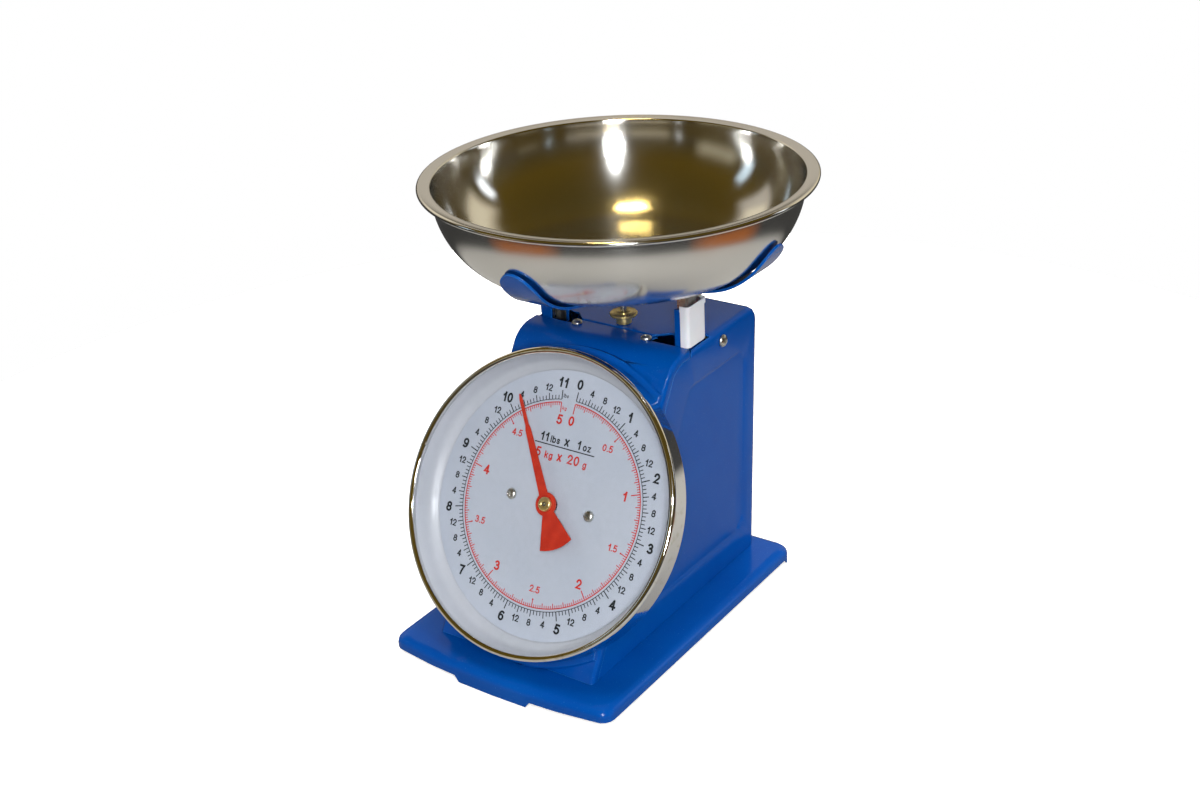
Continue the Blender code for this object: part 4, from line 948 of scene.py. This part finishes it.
def plate():
    """The pressed plate with four rounded ears that stand up around the bowl."""
    clearance = 0.3 * MM
    seat = BOWL_LOW.z - clearance
    start = 45 * MM
    ear_end = 115.5 * MM
    ear_round = 14.5 * MM
    corner_radius = 56 * MM
    wall_length = 78.6 * MM
    wall_top = BOWL_HIGH.z - RIM_CURL - RIM_RISE
    wide = BOWL_HIGH.x - RIM_WIDTH - FLAT_RADIUS
    tall = wall_top - BOWL_LOW.z

    def half_width(along):
        flare = 11.5 * MM + 20 * MM * math.exp((start - along) / (15 * MM))
        past = max(along - ear_end + ear_round, 0) / ear_round
        return flare * math.sqrt(max(1 - past * past, 0.002))

    def ear_point(along, across):
        """A point on the outside of the bowl, a small gap away from it."""
        beyond = along - FLAT_RADIUS
        if beyond <= 0:
            return Vector((along, across, seat))
        angle = math.radians(90) * min(beyond / wall_length, 1)
        gap = clearance + 1.0 * MM * min(math.degrees(angle) / 20, 1)
        out = FLAT_RADIUS + (wide + gap) * math.sin(angle)
        return Vector((out, across, wall_top - (tall + gap) * math.cos(angle)))

    shape = bmesh.new()
    stations = [start + i * 2.8 * MM for i in range(21)]
    for angle in (12, 24, 35, 45, 54, 62, 69, 75, 80, 84, 87.5):
        stations.append(ear_end - ear_round * (1 - math.sin(math.radians(angle))))
    across = [-1, -0.94, -0.8, -0.6, -0.3, 0, 0.3, 0.6, 0.8, 0.94, 1]
    rims = []
    for quarter in range(4):
        turn = Matrix.Rotation(math.radians(90 * quarter), 3, "Z")
        grid = []
        for along in stations:
            half = half_width(along)
            grid.append([shape.verts.new(turn @ ear_point(along, half * side)) for side in across])
        for upper, lower in zip(grid, grid[1:]):
            for corners in zip(upper, lower, lower[1:], upper[1:]):
                shape.faces.new(corners)
        corner = corner_radius * math.sqrt(0.5)
        rims += grid[0]
        rims.append(shape.verts.new(turn @ Vector((corner, corner, seat))))
    shape.faces.new(rims)
    bmesh.ops.recalc_face_normals(shape, faces=shape.faces)
    if max(shape.faces, key=lambda face: face.calc_area()).normal.z < 0:
        bmesh.ops.reverse_faces(shape, faces=shape.faces)
    bmesh.ops.translate(shape, vec=BOWL_AXIS.translation, verts=shape.verts)
    made = piece("plate_pressed", mesh_from(shape, "plate_pressed"), "cross_plate", sharp=40)
    sheet = made.modifiers.new("sheet", "SOLIDIFY")
    sheet.thickness = PLATE_SHEET
    sheet.offset = -1
    sheet.use_even_offset = True
    round_edges(made, 0.45 * MM, 3, 40)


bowl()
dial_rings()
dial_end = ZERO + POUND * POUNDS
print_pounds(dial_end)
print_kilos(dial_end)
pointer_and_hub()
knob()
screws()
plate()
for node in ("housing_shell", "front_panel", "base_plate"):
    refined(node)
for side in ("left", "right"):
    for stem in ("post", "post_bracket", "foot_pad_rear"):
        refined(f"{stem}_{side}")
refined("post_sleeve")
refined("foot_pad_front", 0.6 * MM)
refined("top_beam", 0.3 * MM)
refined("spring_hanger")
refined("rack")
refined("carriage")


# Camera, floor and light

AZIMUTH = math.radians(35.59)
ELEVATION = math.radians(25.88)
ROLL = math.radians(-2.95)
DISTANCE = 1.1861
LENS = 51.0
TARGET = Vector((-0.09419, 0.11971, 0.05497))


def camera():
    data = bpy.data.cameras.new("camera")
    data.lens = LENS
    data.sensor_width = 36
    data.clip_start = 0.05
    data.clip_end = 50
    made = add_object("camera", data)
    flat = math.cos(ELEVATION)
    back = Vector((math.sin(AZIMUTH) * flat, -math.cos(AZIMUTH) * flat, math.sin(ELEVATION)))
    right = (-back).cross(Vector((0, 0, 1))).normalized()
    up = right.cross(-back)
    x = right * math.cos(ROLL) + up * math.sin(ROLL)
    y = up * math.cos(ROLL) - right * math.sin(ROLL)
    turn = Matrix((x, y, back)).transposed().to_4x4()
    made.matrix_world = Matrix.Translation(TARGET + back * DISTANCE) @ turn
    bpy.context.scene.camera = made


def area_light(name, place, target, size, power, colour=(1, 1, 1)):
    data = bpy.data.lights.new(name, "AREA")
    data.shape = "RECTANGLE"
    data.size, data.size_y = size
    data.energy = power
    data.color = colour
    made = add_object(name, data)
    made.location = place
    made.rotation_mode = "QUATERNION"
    made.rotation_quaternion = (Vector(target) - Vector(place)).to_track_quat("-Z", "Y")
    return made


TABLE_RADIUS = 0.62
FADE_START, FADE_END = 0.38, 0.45
NEAR_GREY = (0.33, 0.325, 0.31)
FAR_GREY = (0.035, 0.035, 0.035)
WOOD = (0.24, 0.075, 0.018)
WOOD_AZIMUTHS = (-24, 100)


def floor():
    """A round pale table, brighter towards its edge so that it meets the white past it.

    The camera sees it pale. Reflections see it grey near the scale and dark further off,
    with two brown areas.
    """
    shape = bmesh.new()
    centre = Matrix.Translation((0, 0.03, 0))
    bmesh.ops.create_circle(shape, cap_ends=True, segments=96, radius=TABLE_RADIUS, matrix=centre)
    mesh = mesh_from(shape, "floor")
    made = add_object("floor", mesh)
    tree = Tree("pale_floor")
    cloud = tree.between(tree.noise(3), 0, 1)
    seen = tree.add("LightPath").outputs["Is Camera Ray"]
    pale = tree.blend(cloud, (0.9, 0.9, 0.89), (0.93, 0.93, 0.92))
    place = tree.object_place()
    away = tree.vector("LENGTH", place)["Value"]
    greys = [(0.0, NEAR_GREY), (FADE_START, NEAR_GREY), (FADE_END, FAR_GREY), (1.0, FAR_GREY)]
    bounced = tree.ramp(away, greys)
    outside = tree.between(away, 0, 1, FADE_START, FADE_END)
    for azimuth in WOOD_AZIMUTHS:
        wood = tree.math("MULTIPLY", outside, tree.facing(place, azimuth, 12, 14))
        bounced = tree.blend(wood, bounced, WOOD)
    tree.join(Base_Color=tree.blend(seen, bounced, pale))
    shine = tree.between(away, 0.55, 1.1, 0.22, 0.5)
    tree.join(Emission_Strength=tree.math("MULTIPLY", seen, shine))
    tree.set(Roughness=0.9, Specular_IOR_Level=0.0, Emission_Color=(1, 1, 1, 1))
    mesh.materials.append(tree.material)


class World(Tree):
    """The nodes of the world, written the same short way."""

    def __init__(self, name):
        self.world = bpy.data.worlds.new(name)
        self.world.use_nodes = True
        self.nodes = self.world.node_tree.nodes
        self.links = self.world.node_tree.links
        self.shader = self.nodes["Background"]
        self.place = self.add("TexCoord").outputs["Generated"]
        self.height = self.add("SeparateXYZ", None, Vector=self.place).outputs["Z"]

    def patch(self, room, colour, azimuth, half_width, low, high, soft):
        """A soft-edged area of the room, from a low to a high elevation in degrees."""
        rise = [math.sin(math.radians(angle)) for angle in (low - soft, low, high, high + soft)]
        above = self.between(self.height, 0, 1, rise[0], rise[1])
        below = self.between(self.height, 1, 0, rise[2], rise[3])
        band = self.math("MULTIPLY", above, below)
        area = self.math("MULTIPLY", band, self.facing(self.place, azimuth, half_width, soft))
        return self.blend(area, room, colour)


# What reflections see of the room: (share of the height from straight down to up, colour)
ROOM = [
    (0.0, (0.1, 0.1, 0.1)),
    (0.45, (0.04, 0.04, 0.04)),
    (0.52, (0.05, 0.045, 0.035)),
    (0.6, (0.065, 0.045, 0.012)),
    (0.75, (0.1, 0.062, 0.007)),
    (1.0, (0.07, 0.048, 0.01)),
]
# Pale areas of it: colour, azimuth, half width, low, high and soft edge, in degrees
PATCHES = [
    ((0.55, 0.5, 0.42), -122, 36, 15, 36, 6),
    ((0.8, 0.71, 0.52), 172, 20, 10, 32, 8),
    ((0.9, 0.8, 0.6), -114, 16, 24, 34, 5),
    ((0.42, 0.37, 0.25), -34, 10, 0, 12, 8),
    ((1.8, 1.9, 2.0), 136, 1.5, 4, 26, 3),
    ((0.8, 1.0, 1.15), -61, 2, 8, 26, 3),
]


def world():
    """White to the camera. Reflections see a dim warm room with a few pale areas."""
    tree = World("studio")
    bpy.context.scene.world = tree.world
    room = tree.ramp(tree.between(tree.height, 0, 1, -1, 1), ROOM)
    for patch in PATCHES:
        room = tree.patch(room, *patch)
    seen = tree.add("LightPath").outputs["Is Camera Ray"]
    tree.join(Color=tree.blend(seen, room, (1, 1, 1)))
    tree.shader.inputs["Strength"].default_value = 1.0


camera()
floor()
world()
soft = [
    area_light("key", (0.9, -1.4, 1.3), (0, 0, 0.1), (1.0, 1.0), 25, (1, 1, 0.99)),
    area_light("fill", (-1.6, -0.9, 0.9), (0, 0, 0.1), (1.2, 1.2), 7, (0.92, 0.96, 1)),
    area_light("top", (0, 0.3, 1.7), (0, 0, 0), (1.0, 1.0), 27),
    area_light("side", (1.8, 0.4, 0.7), (0, 0, 0.1), (0.9, 0.9), 11, (0.95, 0.97, 1)),
    area_light("back", (-0.5, 1.9, 0.9), (0, 0, 0.1), (1.0, 1.0), 12),
]
for lamp in soft:
    lamp.visible_glossy = False  # only light, no reflection
area_light("low", (0.85, -1.15, 0.62), (0, 0, 0.18), (0.28, 0.22), 9, (0.97, 0.98, 1))
glints = [
    area_light("flash", (0.6, -0.8, 0.78), (0, 0.02, 0.25), (0.05, 0.05), 14, (0.93, 0.97, 1)),
    area_light("lamp", (-0.28, 0.32, 1.3), (0, 0.02, 0.25), (0.12, 0.06), 2.5, (1, 0.72, 0.25)),
]
for lamp in glints:
    lamp.visible_diffuse = False  # only a reflection, no light
bpy.context.scene.view_settings.view_transform = "Standard"
bpy.context.scene.view_settings.look = "None"
